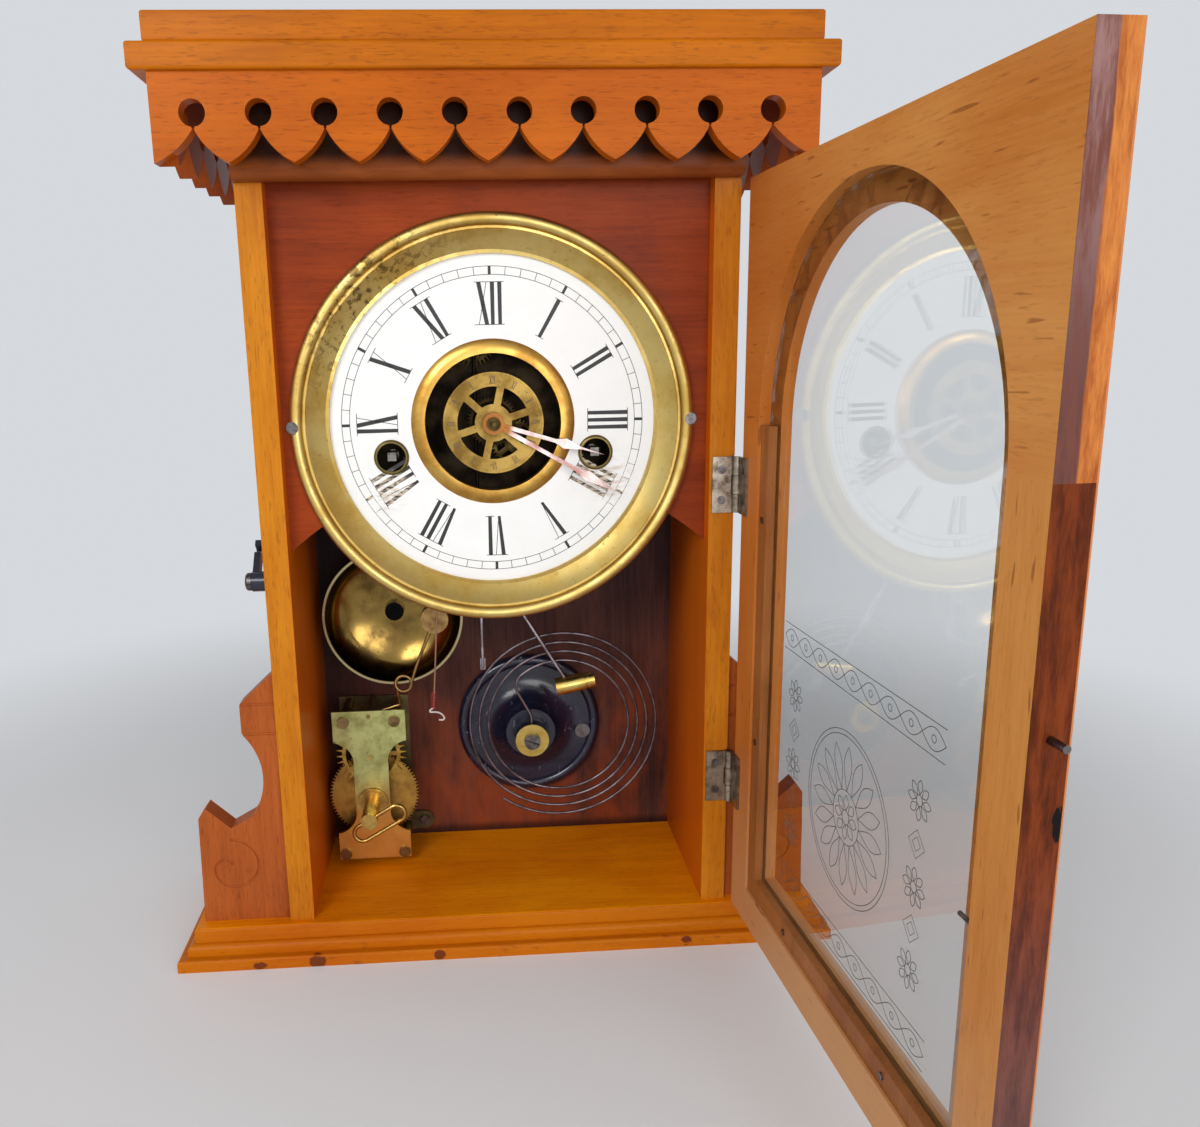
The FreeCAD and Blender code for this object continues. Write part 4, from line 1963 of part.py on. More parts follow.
def latch_hook():
    """Hook on the left side that swings forward over the door's catch pin."""
    arm_in = -case_half - LATCH_STANDOFF
    hub = rod_along_x(latch_y, latch_z, LATCH_HUB_RADIUS, latch_arm_out, -case_half - LATCH_WASHER_GAP)
    half = LATCH_ARM_WIDTH / 2
    end = latch_reach + CATCH_RADIUS + LATCH_HOOK_GAP + LATCH_TIP
    arm = Part.makeBox(LATCH_THICKNESS, end, LATCH_ARM_WIDTH, V(latch_arm_out, 0, -half))
    slot = CATCH_RADIUS + LATCH_HOOK_GAP
    mouth = Part.makeBox(LATCH_THICKNESS, 2 * slot, half, V(latch_arm_out, latch_reach - slot, 0))
    seat = Part.makeCylinder(slot, LATCH_THICKNESS, V(latch_arm_out, latch_reach, 0), ALONG_X)
    arm = arm.cut([mouth, seat])
    arm.rotate(V(0, 0, 0), ALONG_X, LATCH_REST_ANGLE)
    arm.translate(V(0, latch_y, latch_z))
    bore = rod_along_x(latch_y, latch_z, LATCH_SHANK_RADIUS + RUNNING_CLEARANCE,
                       latch_arm_out, arm_in + LATCH_STANDOFF)
    return join([hub, arm]).cut(bore)


# Screws that stay with the case
def wall_screw_holes():
    """Holes in the back board for the bell post, the gong and the alarm movement."""
    shank = SCREW_SHANK_RADIUS + HOLE_CLEARANCE
    holes = [rod_along_y(place, shank, wall, wall + SCREW_SHANK_LENGTH) for place in (mount_screw, alarm_ear)]
    stud = BELL_STUD_RADIUS + HOLE_CLEARANCE
    holes.append(rod_along_y((bell_x, bell_z), stud, wall, wall + SCREW_SHANK_LENGTH))
    return holes


def case_screws():
    screws = case_hinge_screws(0) + [bell_post()]
    for place in bezel_screw_places():
        screws.append(screw(place, board_front, SCREW_HEAD_RADIUS, SCREW_HEAD_HEIGHT,
                            SCREW_SHANK_RADIUS, SCREW_SHANK_LENGTH, 35.0))
    screws.append(screw((gong_x, gong_z), washer_front, GONG_SCREW_RADIUS, GONG_SCREW_HEIGHT,
                        SCREW_SHANK_RADIUS, SCREW_SHANK_LENGTH, 20.0))
    mount_length = wall - gong_dish_y + SCREW_SHANK_LENGTH
    screws.append(screw(mount_screw, gong_dish_y, MOUNT_SCREW_RADIUS, SCREW_HEAD_HEIGHT,
                        SCREW_SHANK_RADIUS, mount_length, 60.0))
    ear_length = ALARM_PLATE_THICKNESS + SCREW_SHANK_LENGTH
    screws.append(screw(alarm_ear, alarm_back, ALARM_SCREW_RADIUS, SCREW_HEAD_HEIGHT,
                        SCREW_SHANK_RADIUS, ear_length, 75.0))
    head_in = latch_arm_out - LATCH_WASHER_GAP
    head = rod_along_x(latch_y, latch_z, LATCH_SCREW_RADIUS, head_in - LATCH_SCREW_HEIGHT, head_in)
    head = soften(head, LATCH_SCREW_HEIGHT / 2, lambda p: p.x < head_in - LATCH_SCREW_HEIGHT + EDGE_TOLERANCE)
    shank = rod_along_x(latch_y, latch_z, LATCH_SHANK_RADIUS, head_in, latch_screw_end)
    screws.append(head.fuse(shank))
    return Part.makeCompound(screws)


def build():
    """Every sub-part by name."""
    left_bracket = bracket()
    return {
        "base_board": base_board(),
        "case_side_left": case_side(-1),
        "case_side_right": case_side(1),
        "back_board": back_board(),
        "front_rail": front_rail(),
        "cornice_board": cornice_board(),
        "cap_board": cap_board(),
        "valance_front": valance_front(),
        "valance_sides": valance_sides(),
        "bracket_left": left_bracket,
        "bracket_right": mirrored(left_bracket),
        "dial_board": dial_board(),
        "bezel": bezel(),
        "dial_plate": dial_plate(),
        "dial_rings": dial_rings(),
        "minute_hand": minute_hand(),
        "hour_hand": hour_hand(),
        "motion_wheel": motion_wheel(),
        "alarm_disc": alarm_disc(),
        "movement_front_plate": movement_front_plate(),
        "movement_back_plate": movement_back_plate(),
        "movement_pillars": movement_pillars(),
        "mainsprings": mainsprings(),
        "time_main_wheel": main_wheel(time_main, bearing(time_main, time_second)),
        "time_winding_arbor": winding_arbor(time_main),
        "time_second_wheel": time_second_wheel(),
        "centre_wheel": centre_wheel(),
        "third_wheel": third_wheel(),
        "escape_wheel": escape_wheel(),
        "strike_main_wheel": main_wheel(strike_main, bearing(strike_main, strike_second)),
        "strike_winding_arbor": winding_arbor(strike_main),
        "strike_second_wheel": strike_second_wheel(),
        "strike_fly": strike_fly(),
        "verge_crutch": verge_crutch(),
        "pendulum_rod": pendulum_rod(),
        "alarm_bell": alarm_bell(),
        "gong_base": gong_base(),
        "gong_coil": gong_coil(),
        "gong_washer": gong_washer(),
        "gong_hammer_arm": gong_hammer_arm(),
        "gong_hammer_head": gong_hammer_head(),
        "alarm_front_plate": alarm_front_plate(),
        "alarm_back_plate": alarm_back_plate(),
        "alarm_pillars": alarm_pillars(),
        "alarm_main_wheel": alarm_main_wheel(),
        "alarm_escape_wheel": alarm_escape_wheel(),
        "alarm_key": alarm_key(),
        "alarm_hammer": alarm_hammer(),
        "alarm_cord": alarm_cord(),
        "door_head": door_head(),
        "door_hinge_stile": door_hinge_stile(),
        "door_free_stile": door_free_stile(),
        "door_bottom_rail": door_bottom_rail(),
        "door_glass": door_glass(),
        "door_beads": door_beads(),
        "door_nails": door_nails(),
        "hinge_case_leaves": hinge_case_leaves(),
        "hinge_door_leaves": hinge_door_leaves(),
        "latch_hook": latch_hook(),
        "case_screws": case_screws(),
    }


os.makedirs("parts", exist_ok=True)
sub_parts = build()
for name, shape in sub_parts.items():
    shape.exportStep("parts/" + name + ".step")
    solids = len(shape.Solids)
    print(name, "valid" if shape.isValid() else "not valid", solids, round(shape.Volume, 1))
print("gong wire to itself, least gap mm:", round(coil_gap(), 2))
print("sub-parts:", len(sub_parts))
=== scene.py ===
import math

import bmesh
import bpy
from mathutils import Matrix, Vector


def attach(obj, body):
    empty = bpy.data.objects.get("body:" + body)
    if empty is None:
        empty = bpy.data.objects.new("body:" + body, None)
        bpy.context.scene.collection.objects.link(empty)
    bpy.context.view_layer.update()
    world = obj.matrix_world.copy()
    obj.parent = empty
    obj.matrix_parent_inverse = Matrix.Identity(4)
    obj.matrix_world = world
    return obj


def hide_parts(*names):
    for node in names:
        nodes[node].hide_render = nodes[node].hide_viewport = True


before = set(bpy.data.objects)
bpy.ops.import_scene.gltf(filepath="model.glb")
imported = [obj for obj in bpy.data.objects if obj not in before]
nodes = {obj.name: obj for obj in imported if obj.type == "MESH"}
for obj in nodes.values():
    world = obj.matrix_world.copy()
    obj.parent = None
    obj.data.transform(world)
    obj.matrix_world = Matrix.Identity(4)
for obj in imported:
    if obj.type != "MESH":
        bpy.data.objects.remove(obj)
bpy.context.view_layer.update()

MM = 0.001
FULL_TURN = 2 * math.pi

# Places on the clock, in millimetres
DIAL_X = -1.3
DIAL_Z = 220.8
DIAL_FRONT = -24.4
DISC_FRONT = -28.0
GLASS_BACK = -41.0
HINGE_X = 93.0
HINGE_Y = -35.6
DOOR_OPEN_ANGLE = 94.2
DOOR_MIDDLE = -2.35
DOOR_LEFT = -94.6
DOOR_INNER = -36.8
DOOR_OUTER = -47.0
INNER_HALF = 82.4
BASE_TOP = 15.7
RAIL_BOTTOM = 308.7
BELL_PLACE = (-46.9, 10.0, 134.0)
CORD_ROUTE = ((-25.9, -0.3, 173.4), (-26.6, -0.2, 146.0), (-28.4, -0.4, 119.0), (-30.0, -0.3, 96.5))
CORD_RADIUS = 0.35

hinge = Vector((HINGE_X, HINGE_Y, 0)) * MM
door_turn = (Matrix.Translation(hinge) @ Matrix.Rotation(math.radians(DOOR_OPEN_ANGLE), 4, "Z")
             @ Matrix.Translation(-hinge))
dial_axis = (DIAL_X * MM, 0.0, DIAL_Z * MM)
bell_axis = (BELL_PLACE[0] * MM, 0.0, BELL_PLACE[2] * MM)


def new_object(name, data):
    made = bpy.data.objects.new(name, data)
    bpy.context.scene.collection.objects.link(made)
    return made


# Camera
CAMERA_PLACE = (-12.29, -420.91, 249.40)
CAMERA_YAW = 3.29
CAMERA_PITCH = 12.55
CAMERA_ROLL = -1.15
PHOTO_WIDTH = 1200
PHOTO_HEIGHT = 1127
FOCAL_PIXELS = 1004.35
AXIS_PIXEL = (526.25, 570.41)
SENSOR = 36.0
CLIP_START = 0.01


def make_camera():
    yaw = math.radians(CAMERA_YAW)
    pitch = math.radians(CAMERA_PITCH)
    roll = math.radians(CAMERA_ROLL)
    forward = Vector((math.sin(yaw) * math.cos(pitch), math.cos(yaw) * math.cos(pitch), -math.sin(pitch)))
    right = Vector((math.cos(yaw), -math.sin(yaw), 0))
    up = right.cross(forward)
    side = right * math.cos(roll) + up * math.sin(roll)
    top = up * math.cos(roll) - right * math.sin(roll)
    data = bpy.data.cameras.new("photo_camera")
    data.sensor_width = SENSOR
    data.lens = SENSOR * FOCAL_PIXELS / PHOTO_WIDTH
    data.shift_x = (PHOTO_WIDTH / 2 - AXIS_PIXEL[0]) / PHOTO_WIDTH
    data.shift_y = (AXIS_PIXEL[1] - PHOTO_HEIGHT / 2) / PHOTO_WIDTH
    data.clip_start = CLIP_START
    camera = new_object("photo_camera", data)
    turn = Matrix((side, top, -forward)).transposed().to_4x4()
    camera.matrix_world = Matrix.Translation(Vector(CAMERA_PLACE) * MM) @ turn
    bpy.context.scene.camera = camera


make_camera()


# Helpers for materials
CURVE_TOP = 255
CURVE_KNEE = 0.04045
CURVE_SLOPE = 12.92
CURVE_OFFSET = 0.055
CURVE_POWER = 2.4
MIX_SHARE = 0
MIX_FIRST = 6
MIX_SECOND = 7
MIX_RESULT = 2
ALONG_X = 0
ALONG_Y = 1
ALONG_Z = 2
SOFT = (0.3, 0.7)
RAGGED = (0.35, 0.6)


def colour(red, green, blue):
    """Linear colour from the usual 0 to 255 values."""
    linear = []
    for value in (red, green, blue):
        share = value / CURVE_TOP
        if share <= CURVE_KNEE:
            linear.append(share / CURVE_SLOPE)
        else:
            linear.append(((share + CURVE_OFFSET) / (1 + CURVE_OFFSET)) ** CURVE_POWER)
    return (*linear, 1.0)


def shade(tone, share):
    """A share of a colour's 0 to 255 values."""
    return [share * value for value in tone]


class Finish:
    """A material and short ways to add nodes to it. Colours are 0 to 255 values."""

    def __init__(self, name, on_door=False):
        self.material = bpy.data.materials.new(name)
        self.material.use_nodes = True
        self.tree = self.material.node_tree
        self.shader = self.tree.nodes["Principled BSDF"]
        self.where = self.add("ShaderNodeTexCoord").outputs["Object"]
        if on_door:
            self.where = self.shut_place()

    def add(self, kind, inputs=None, **settings):
        made = self.tree.nodes.new(kind)
        for name, value in settings.items():
            setattr(made, name, value)
        for name, value in (inputs or {}).items():
            self.feed(made.inputs[name], value)
        return made

    def feed(self, socket, value):
        if isinstance(value, bpy.types.NodeSocket):
            self.tree.links.new(value, socket)
        else:
            socket.default_value = value

    def set(self, **inputs):
        for name, value in inputs.items():
            self.feed(self.shader.inputs[name.replace("_", " ")], value)

    def shut_place(self):
        """Places on the door as they are with the door shut."""
        back = door_turn.inverted()
        return self.add("ShaderNodeMapping", {
            "Vector": self.where, "Location": back.to_translation(), "Rotation": back.to_euler()}).outputs[0]

    def along(self, axis):
        """One coordinate of the place."""
        return self.add("ShaderNodeSeparateXYZ", {"Vector": self.where}).outputs[axis]

    def stretch(self, place, scale):
        return self.add("ShaderNodeMapping", {"Vector": place, "Scale": scale}).outputs[0]

    def draw_out(self, axis, share):
        """The place with one axis counted at a share, which draws a pattern out along it."""
        scale = [1.0, 1.0, 1.0]
        scale[axis] = share
        return self.stretch(self.where, scale)

    def noise(self, scale, detail=3.0, rough=0.55, twist=0.0, place=None):
        made = self.add("ShaderNodeTexNoise", {
            "Vector": self.where if place is None else place, "Scale": scale, "Detail": detail,
            "Roughness": rough, "Distortion": twist})
        return made.outputs["Fac"]

    def ramp(self, value, low, high):
        """0 below low and 1 above high, with a soft step between."""
        return self.add("ShaderNodeMapRange", {
            "Value": value, "From Min": low, "From Max": high}, interpolation_type="SMOOTHSTEP").outputs[0]

    def ramp_mm(self, length, low, high):
        """A ramp along a length, between two marks in millimetres."""
        return self.ramp(length, low * MM, high * MM)

    def fall_mm(self, length, low, high):
        """1 below low and 0 above high, both in millimetres."""
        return self.math("SUBTRACT", 1.0, self.ramp_mm(length, low, high))

    def math(self, operation, *values):
        made = self.add("ShaderNodeMath", operation=operation)
        for socket, value in zip(made.inputs, values):
            self.feed(socket, value)
        return made.outputs[0]

    def times(self, first, second):
        return self.math("MULTIPLY", first, second)

    def most(self, first, second):
        return self.math("MAXIMUM", first, second)

    def mix(self, share, first, second):
        made = self.add("ShaderNodeMix", data_type="RGBA", blend_type="MIX")
        self.feed(made.inputs[MIX_SHARE], share)
        self.feed(made.inputs[MIX_FIRST], first)
        self.feed(made.inputs[MIX_SECOND], second)
        return made.outputs[MIX_RESULT]

    def two_tone(self, share, first, second):
        return self.mix(share, colour(*first), colour(*second))

    def paint(self, under, mask, over, strength=1.0):
        """A colour laid over another where the mask is 1."""
        share = mask if strength == 1.0 else self.times(mask, strength)
        return self.mix(share, under, colour(*over))

    def spot(self, centre, reach):
        """1 at a point, falling to 0 at the reach, both in millimetres."""
        point = [value * MM for value in centre]
        away = self.add("ShaderNodeVectorMath", {0: self.where, 1: point}, operation="DISTANCE")
        return self.fall_mm(away.outputs["Value"], 0.0, reach)

    def from_axis(self, axis):
        """Distance from a line that runs from front to back."""
        centred = self.add("ShaderNodeVectorMath", {0: self.where, 1: axis}, operation="SUBTRACT").outputs[0]
        flat = self.stretch(centred, (1.0, 0.0, 1.0))
        return self.add("ShaderNodeVectorMath", {0: flat}, operation="LENGTH").outputs["Value"]

    def set_roughness(self, cloud, start, spread):
        self.set(Roughness=self.math("MULTIPLY_ADD", cloud, spread, start))

    def bump(self, height, depth, strength=1.0):
        """Small relief, its depth in millimetres."""
        made = self.add("ShaderNodeBump", {"Height": height, "Distance": depth * MM, "Strength": strength})
        self.set(Normal=made.outputs[0])


def dress(finish, *names):
    for name in names:
        slots = nodes[name].data.materials
        slots.clear()
        slots.append(finish.material)


# Wood
BAND_DRAW = 0.16
LINE_DRAW = 0.035
PORE_DRAW = 0.12
PORE_STEP = (0.57, 0.7)
PORE_SHADE = 0.5
PORE_DEPTH = 0.6
TONE_START = 0.1
BAND_SHARE = 0.4
CLOUD_SHARE = 0.4
LINE_SHARE = 0.3
VARNISH_SPREAD = 0.16


def wood(name, dark, light, grain, on_door=False, figure=1.0, rough=0.4, fleck=0.2):
    """Varnished board whose fibres run along the grain axis."""
    finish = Finish(name, on_door)
    cloud = finish.noise(scale=16.0, detail=2.0)
    band_place = finish.draw_out(grain, BAND_DRAW)
    bands = finish.noise(scale=95.0, detail=4.0, rough=0.6, twist=0.6, place=band_place)
    lines = finish.noise(scale=900.0, rough=0.65, place=finish.draw_out(grain, LINE_DRAW))
    dots = finish.noise(scale=1700.0, detail=2.0, rough=0.5, place=finish.draw_out(grain, PORE_DRAW))
    pores = finish.ramp(dots, *PORE_STEP)
    tone = finish.math("MULTIPLY_ADD", finish.ramp(bands, *SOFT), BAND_SHARE * figure, TONE_START)
    cloudy = finish.times(finish.ramp(cloud, *SOFT), CLOUD_SHARE)
    lined = finish.times(finish.ramp(lines, *SOFT), LINE_SHARE * figure)
    total = finish.math("ADD", finish.math("ADD", tone, cloudy), lined)
    body = finish.two_tone(total, dark, light)
    finish.flecked = finish.mix(finish.times(pores, fleck), body, colour(*shade(dark, PORE_SHADE)))
    finish.set(Base_Color=finish.flecked, Specular_IOR_Level=0.1, Coat_Weight=0.04, Coat_Roughness=0.2)
    finish.set_roughness(cloud, rough - VARNISH_SPREAD / 2, VARNISH_SPREAD)
    finish.bump(finish.math("SUBTRACT", lines, finish.times(pores, PORE_DEPTH)), depth=0.06, strength=0.45)
    return finish


PLAIN_WOODS = (
    ("varnished_slab", (150, 72, 1), (194, 106, 3), ALONG_X, {"fleck": 0.3},
     ("cornice_board", "cap_board")),
    ("varnished_valance", (158, 70, 2), (196, 98, 4), ALONG_X, {"figure": 0.8, "fleck": 0.34},
     ("valance_front",)),
    # darker than the front valance, as painted shade on the sides
    ("shaded_side_valance", (132, 52, 8), (168, 80, 20), ALONG_Y, {},
     ("valance_sides",)),
    ("varnished_bracket", (136, 62, 22), (176, 90, 38), ALONG_Z, {"rough": 0.5, "fleck": 0.3},
     ("bracket_left", "bracket_right")),
    ("varnished_dial_board", (102, 32, 5), (156, 62, 14), ALONG_X, {"figure": 0.8, "rough": 0.42},
     ("dial_board",)),
    ("stained_bead", (122, 66, 28), (172, 108, 58), ALONG_Z, {"on_door": True},
     ("door_beads",)),
)
for wood_name, wood_dark, wood_light, wood_grain, wood_options, wood_nodes in PLAIN_WOODS:
    dress(wood(wood_name, wood_dark, wood_light, wood_grain, **wood_options), *wood_nodes)

RAIL_SHADE = (RAIL_BOTTOM + 4, RAIL_BOTTOM + 9)
RAIL_PAINTED_SHADE = (26, 14, 8)


def rail_wood():
    """Brown rail, darker than the slabs as painted shade under the valance, and near black with painted shade
    behind the valance.
    """
    finish = wood("varnished_rail", (112, 54, 22), (158, 82, 34), ALONG_X, figure=0.7)
    # painted shade: near black where the rail runs up behind the valance
    painted_shade = finish.ramp_mm(finish.along(ALONG_Z), *RAIL_SHADE)
    finish.set(Base_Color=finish.paint(finish.flecked, painted_shade, RAIL_PAINTED_SHADE, strength=0.9))
    return finish


SIDE_FACE = (INNER_HALF + 0.02, INNER_HALF + 0.3)
SIDE_CORNER = (-12.0, 34.0)
SIDE_ORANGE = (216, 98, 8)
SIDE_PAINTED_SHADE = (96, 30, 8)


def side_wood():
    """Case side: tan at its front edge, orange where it faces the inside, and darker to the back with painted
    shade.
    """
    finish = wood("varnished_side", (168, 86, 8), (206, 128, 24), ALONG_Z, fleck=0.3)
    away = finish.math("ABSOLUTE", finish.along(ALONG_X))
    inside = finish.fall_mm(away, *SIDE_FACE)
    body = finish.paint(finish.flecked, inside, SIDE_ORANGE, strength=0.75)
    # painted shade: the inside face grows darker towards the back of the case
    corner = finish.times(finish.ramp_mm(finish.along(ALONG_Y), *SIDE_CORNER), inside)
    finish.set(Base_Color=finish.paint(body, corner, SIDE_PAINTED_SHADE, strength=0.5))
    return finish


BASE_EDGE = (BASE_TOP - 0.3, BASE_TOP - 0.05)
BASE_MOULDING = (156, 72, 10)
BASE_WORN = (112, 52, 20)
BASE_STRETCH = (0.5, 1.0, 1.4)
LIP_REACH = (3.0, 12.0)
SCUFF_STEP = (0.6, 0.72)
SCUFF_SHARE = 0.7
CHIPS = ((-80.5, 5.0), (-104.0, 4.4), (-30.0, 3.6), (74.0, 3.6))
CHIP_FRONT = -44.6
CHIP_LEVEL = 2.5
CHIP_STEP = (0.15, 0.3)


def base_wood():
    """Base board, golden on top, brown at its moulding, with a few dark chips in its lip."""
    finish = wood("varnished_base", (206, 98, 1), (240, 146, 4), ALONG_X, fleck=0.24)
    upward = finish.along(ALONG_Z)
    moulded = finish.paint(finish.flecked, finish.fall_mm(upward, *BASE_EDGE), BASE_MOULDING, strength=0.6)
    rubbed_place = finish.stretch(finish.where, BASE_STRETCH)
    rubbed = finish.noise(scale=150.0, detail=4.0, rough=0.65, place=rubbed_place)
    scuffs = finish.times(finish.ramp(rubbed, *SCUFF_STEP), finish.fall_mm(upward, *LIP_REACH))
    total = finish.times(scuffs, SCUFF_SHARE)
    for across, reach in CHIPS:
        near = finish.spot((across, CHIP_FRONT, CHIP_LEVEL), reach)
        broken = finish.times(near, finish.ramp(rubbed, *RAGGED))
        total = finish.most(total, finish.ramp(broken, *CHIP_STEP))
    finish.set(Base_Color=finish.paint(moulded, total, BASE_WORN))
    return finish


BACK_DRAW = 0.4
BACK_BLOTCH = (0.32, 0.62)
BACK_LOW = (20.0, 130.0)
BACK_RIGHT = (0.0, 75.0)
BACK_RIGHT_TOP = (50.0, 150.0)
BACK_HIGH = (130.0, 190.0)
BACK_LEFT_END = (-80.0, -55.0)
BACK_FOOT = (16.5, 21.5)
BACK_RUST = (138, 62, 28)
BACK_SHADE_GREY = (34, 28, 36)
BACK_PAINTED_SHADE = (12, 8, 8)


def back_wood():
    """Dark mottled board, rusty low down and to the right, with painted shade that greys it high up and turns
    it near black at its left end and foot.
    """
    finish = wood("stained_back", (26, 17, 22), (92, 56, 48), ALONG_Z, figure=1.1, rough=0.5, fleck=0.3)
    across = finish.along(ALONG_X)
    upward = finish.along(ALONG_Z)
    blotch = finish.noise(scale=38.0, detail=5.0, rough=0.65, place=finish.draw_out(ALONG_Z, BACK_DRAW))
    low = finish.fall_mm(upward, *BACK_LOW)
    right = finish.times(finish.ramp_mm(across, *BACK_RIGHT), finish.fall_mm(upward, *BACK_RIGHT_TOP))
    warm = finish.times(finish.most(low, right), finish.ramp(blotch, *BACK_BLOTCH))
    rusty = finish.paint(finish.flecked, warm, BACK_RUST, strength=0.85)
    # painted shade: greyer high up
    grey = finish.paint(rusty, finish.ramp_mm(upward, *BACK_HIGH), BACK_SHADE_GREY, strength=0.6)
    # painted shade: near black at the left end and in the crease along the foot
    painted_shade = finish.most(finish.fall_mm(across, *BACK_LEFT_END), finish.fall_mm(upward, *BACK_FOOT))
    finish.set(Base_Color=finish.paint(grey, painted_shade, BACK_PAINTED_SHADE, strength=0.75))
    return finish


dress(rail_wood(), "front_rail")
dress(side_wood(), "case_side_left", "case_side_right")
dress(base_wood(), "base_board")
dress(back_wood(), "back_board")

# Door wood
DOOR_DARK = (188, 108, 40)
DOOR_LIGHT = (220, 154, 82)
DOOR_HINGE_SHADE = (192, 96, 28)
DOOR_PALE = (206, 164, 122)
DOOR_DASH = (120, 58, 26)
DOOR_BACK = (196, 124, 76)
DASH_DRAW = 0.13
DASH_STEP = (0.69, 0.75)
HINGE_SIDE = (-20.0, 90.0)
DOOR_LOW = (20.0, 100.0)
FREE_EDGE = (DOOR_LEFT + 0.02, DOOR_LEFT + 0.3)
OUTER_FACE = (DOOR_OUTER + 0.3, DOOR_OUTER + 0.6)
EDGE_DRAW = 0.16
VENEER_SHEEN_LOW = (92, 58, 54)
VENEER_SHEEN_HIGH = (146, 110, 106)
VENEER_SHEEN_MOTTLE = (112, 66, 56)
VENEER_SHEEN_RISE = (225.0, 300.0)
MOTTLE_STEP = (0.36, 0.66)
WORN_DARK = (150, 72, 30)
WORN_LIGHT = (206, 128, 62)
WORN_DEPTH = (DOOR_INNER - 4.4, DOOR_INNER - 3.6)
WORN_WANDER = 2.2
STILE_RED_DARK = (74, 28, 8)
STILE_RED_LIGHT = (124, 54, 16)
STILE_GREY_DARK = (84, 54, 52)
STILE_GREY_LIGHT = (112, 74, 68)
STILE_RISE = (50.0, 150.0)
STILE_CHIP = (DOOR_LEFT, DOOR_OUTER + 1.0, 143.0)
STILE_CHIP_REACH = 7.0
STILE_CHIP_STEP = (0.2, 0.35)
STILE_CHIP_DARK = (20, 12, 10)


def head_edge(finish, ragged):
    """Worn veneer on the free edge of the door's head, whose purple-grey colour, lighter higher up, is a
    painted reflection of the pale backdrop.
    """
    # painted reflection: purple-grey veneer sheen, lighter higher up, with mottles
    veneer_sheen = finish.two_tone(finish.ramp_mm(finish.along(ALONG_Z), *VENEER_SHEEN_RISE), VENEER_SHEEN_LOW, VENEER_SHEEN_HIGH)
    mottled = finish.paint(veneer_sheen, finish.ramp(ragged, *MOTTLE_STEP), VENEER_SHEEN_MOTTLE)
    worn = finish.two_tone(finish.ramp(ragged, *SOFT), WORN_DARK, WORN_LIGHT)
    depth = finish.math("MULTIPLY_ADD", ragged, WORN_WANDER * MM, finish.along(ALONG_Y))
    return finish.mix(finish.ramp_mm(depth, *WORN_DEPTH), worn, mottled)


def stile_edge(finish, ragged):
    """Red-brown stain on the free edge of the stile, greyer low down, with one dark chip."""
    streaks = finish.ramp(ragged, *SOFT)
    red = finish.two_tone(streaks, STILE_RED_DARK, STILE_RED_LIGHT)
    grey = finish.two_tone(streaks, STILE_GREY_DARK, STILE_GREY_LIGHT)
    striped = finish.mix(finish.ramp_mm(finish.along(ALONG_Z), *STILE_RISE), grey, red)
    chip = finish.times(finish.spot(STILE_CHIP, STILE_CHIP_REACH), finish.ramp(ragged, *RAGGED))
    return finish.paint(striped, finish.ramp(chip, *STILE_CHIP_STEP), STILE_CHIP_DARK)


def door_wood(name, grain, edge_stain):
    """Door board, pale inside, with painted shade that deepens its colour towards the hinges, and with dashes
    and a worn free edge.
    """
    finish = wood(name, DOOR_DARK, DOOR_LIGHT, grain, on_door=True, figure=0.6, fleck=0.16)
    across = finish.along(ALONG_X)
    # painted shade: the inside deepens in colour towards the hinge side, where less light falls
    hinge_shaded = finish.paint(finish.flecked, finish.ramp_mm(across, *HINGE_SIDE), DOOR_HINGE_SHADE, strength=0.5)
    low = finish.fall_mm(finish.along(ALONG_Z), *DOOR_LOW)
    paler = finish.paint(hinge_shaded, low, DOOR_PALE, strength=0.5)
    marks = finish.noise(scale=520.0, detail=1.0, rough=0.4, place=finish.draw_out(grain, DASH_DRAW))
    inside = finish.paint(paler, finish.ramp(marks, *DASH_STEP), DOOR_DASH, strength=0.55)
    ragged = finish.noise(scale=320.0, detail=4.0, rough=0.7, place=finish.draw_out(ALONG_Z, EDGE_DRAW))
    outer = finish.fall_mm(finish.along(ALONG_Y), *OUTER_FACE)
    stained = finish.paint(edge_stain(finish, ragged), outer, DOOR_BACK)
    finish.set(Base_Color=finish.mix(finish.fall_mm(across, *FREE_EDGE), inside, stained))
    return finish


dress(door_wood("door_head_wood", ALONG_X, head_edge), "door_head")
dress(door_wood("door_stile_wood", ALONG_Z, stile_edge), "door_free_stile", "door_hinge_stile")
dress(door_wood("door_rail_wood", ALONG_X, stile_edge), "door_bottom_rail")


# Metal
TARNISH_STEP = (0.35, 0.7)
SPECK_STEP = (0.62, 0.72)
SPECK_FINER = 6
SPECK_SHADE = 0.35
METAL_SPREAD = 0.16
RELIEF_FINER = 9


def metal(name, bright, dull, rough, spots, scale, lathe=None):
    """Aged metal with soft tarnish, dark specks and, where it was turned, fine rings."""
    finish = Finish(name)
    cloud = finish.ramp(finish.noise(scale, detail=4.0, rough=0.6), *TARNISH_STEP)
    specks = finish.ramp(finish.noise(scale * SPECK_FINER, rough=0.6), *SPECK_STEP)
    body = finish.two_tone(cloud, bright, dull)
    finish.aged = finish.mix(finish.times(specks, spots), body, colour(*shade(dull, SPECK_SHADE)))
    finish.set(Base_Color=finish.aged, Metallic=1.0)
    finish.set_roughness(cloud, rough, METAL_SPREAD)
    if lathe:
        rings = finish.add("ShaderNodeCombineXYZ", {"X": finish.from_axis(lathe)}).outputs[0]
        height = finish.noise(scale=3200.0, place=rings)
    else:
        height = finish.noise(scale * RELIEF_FINER)
    finish.bump(height, depth=0.02, strength=0.5)
    return finish


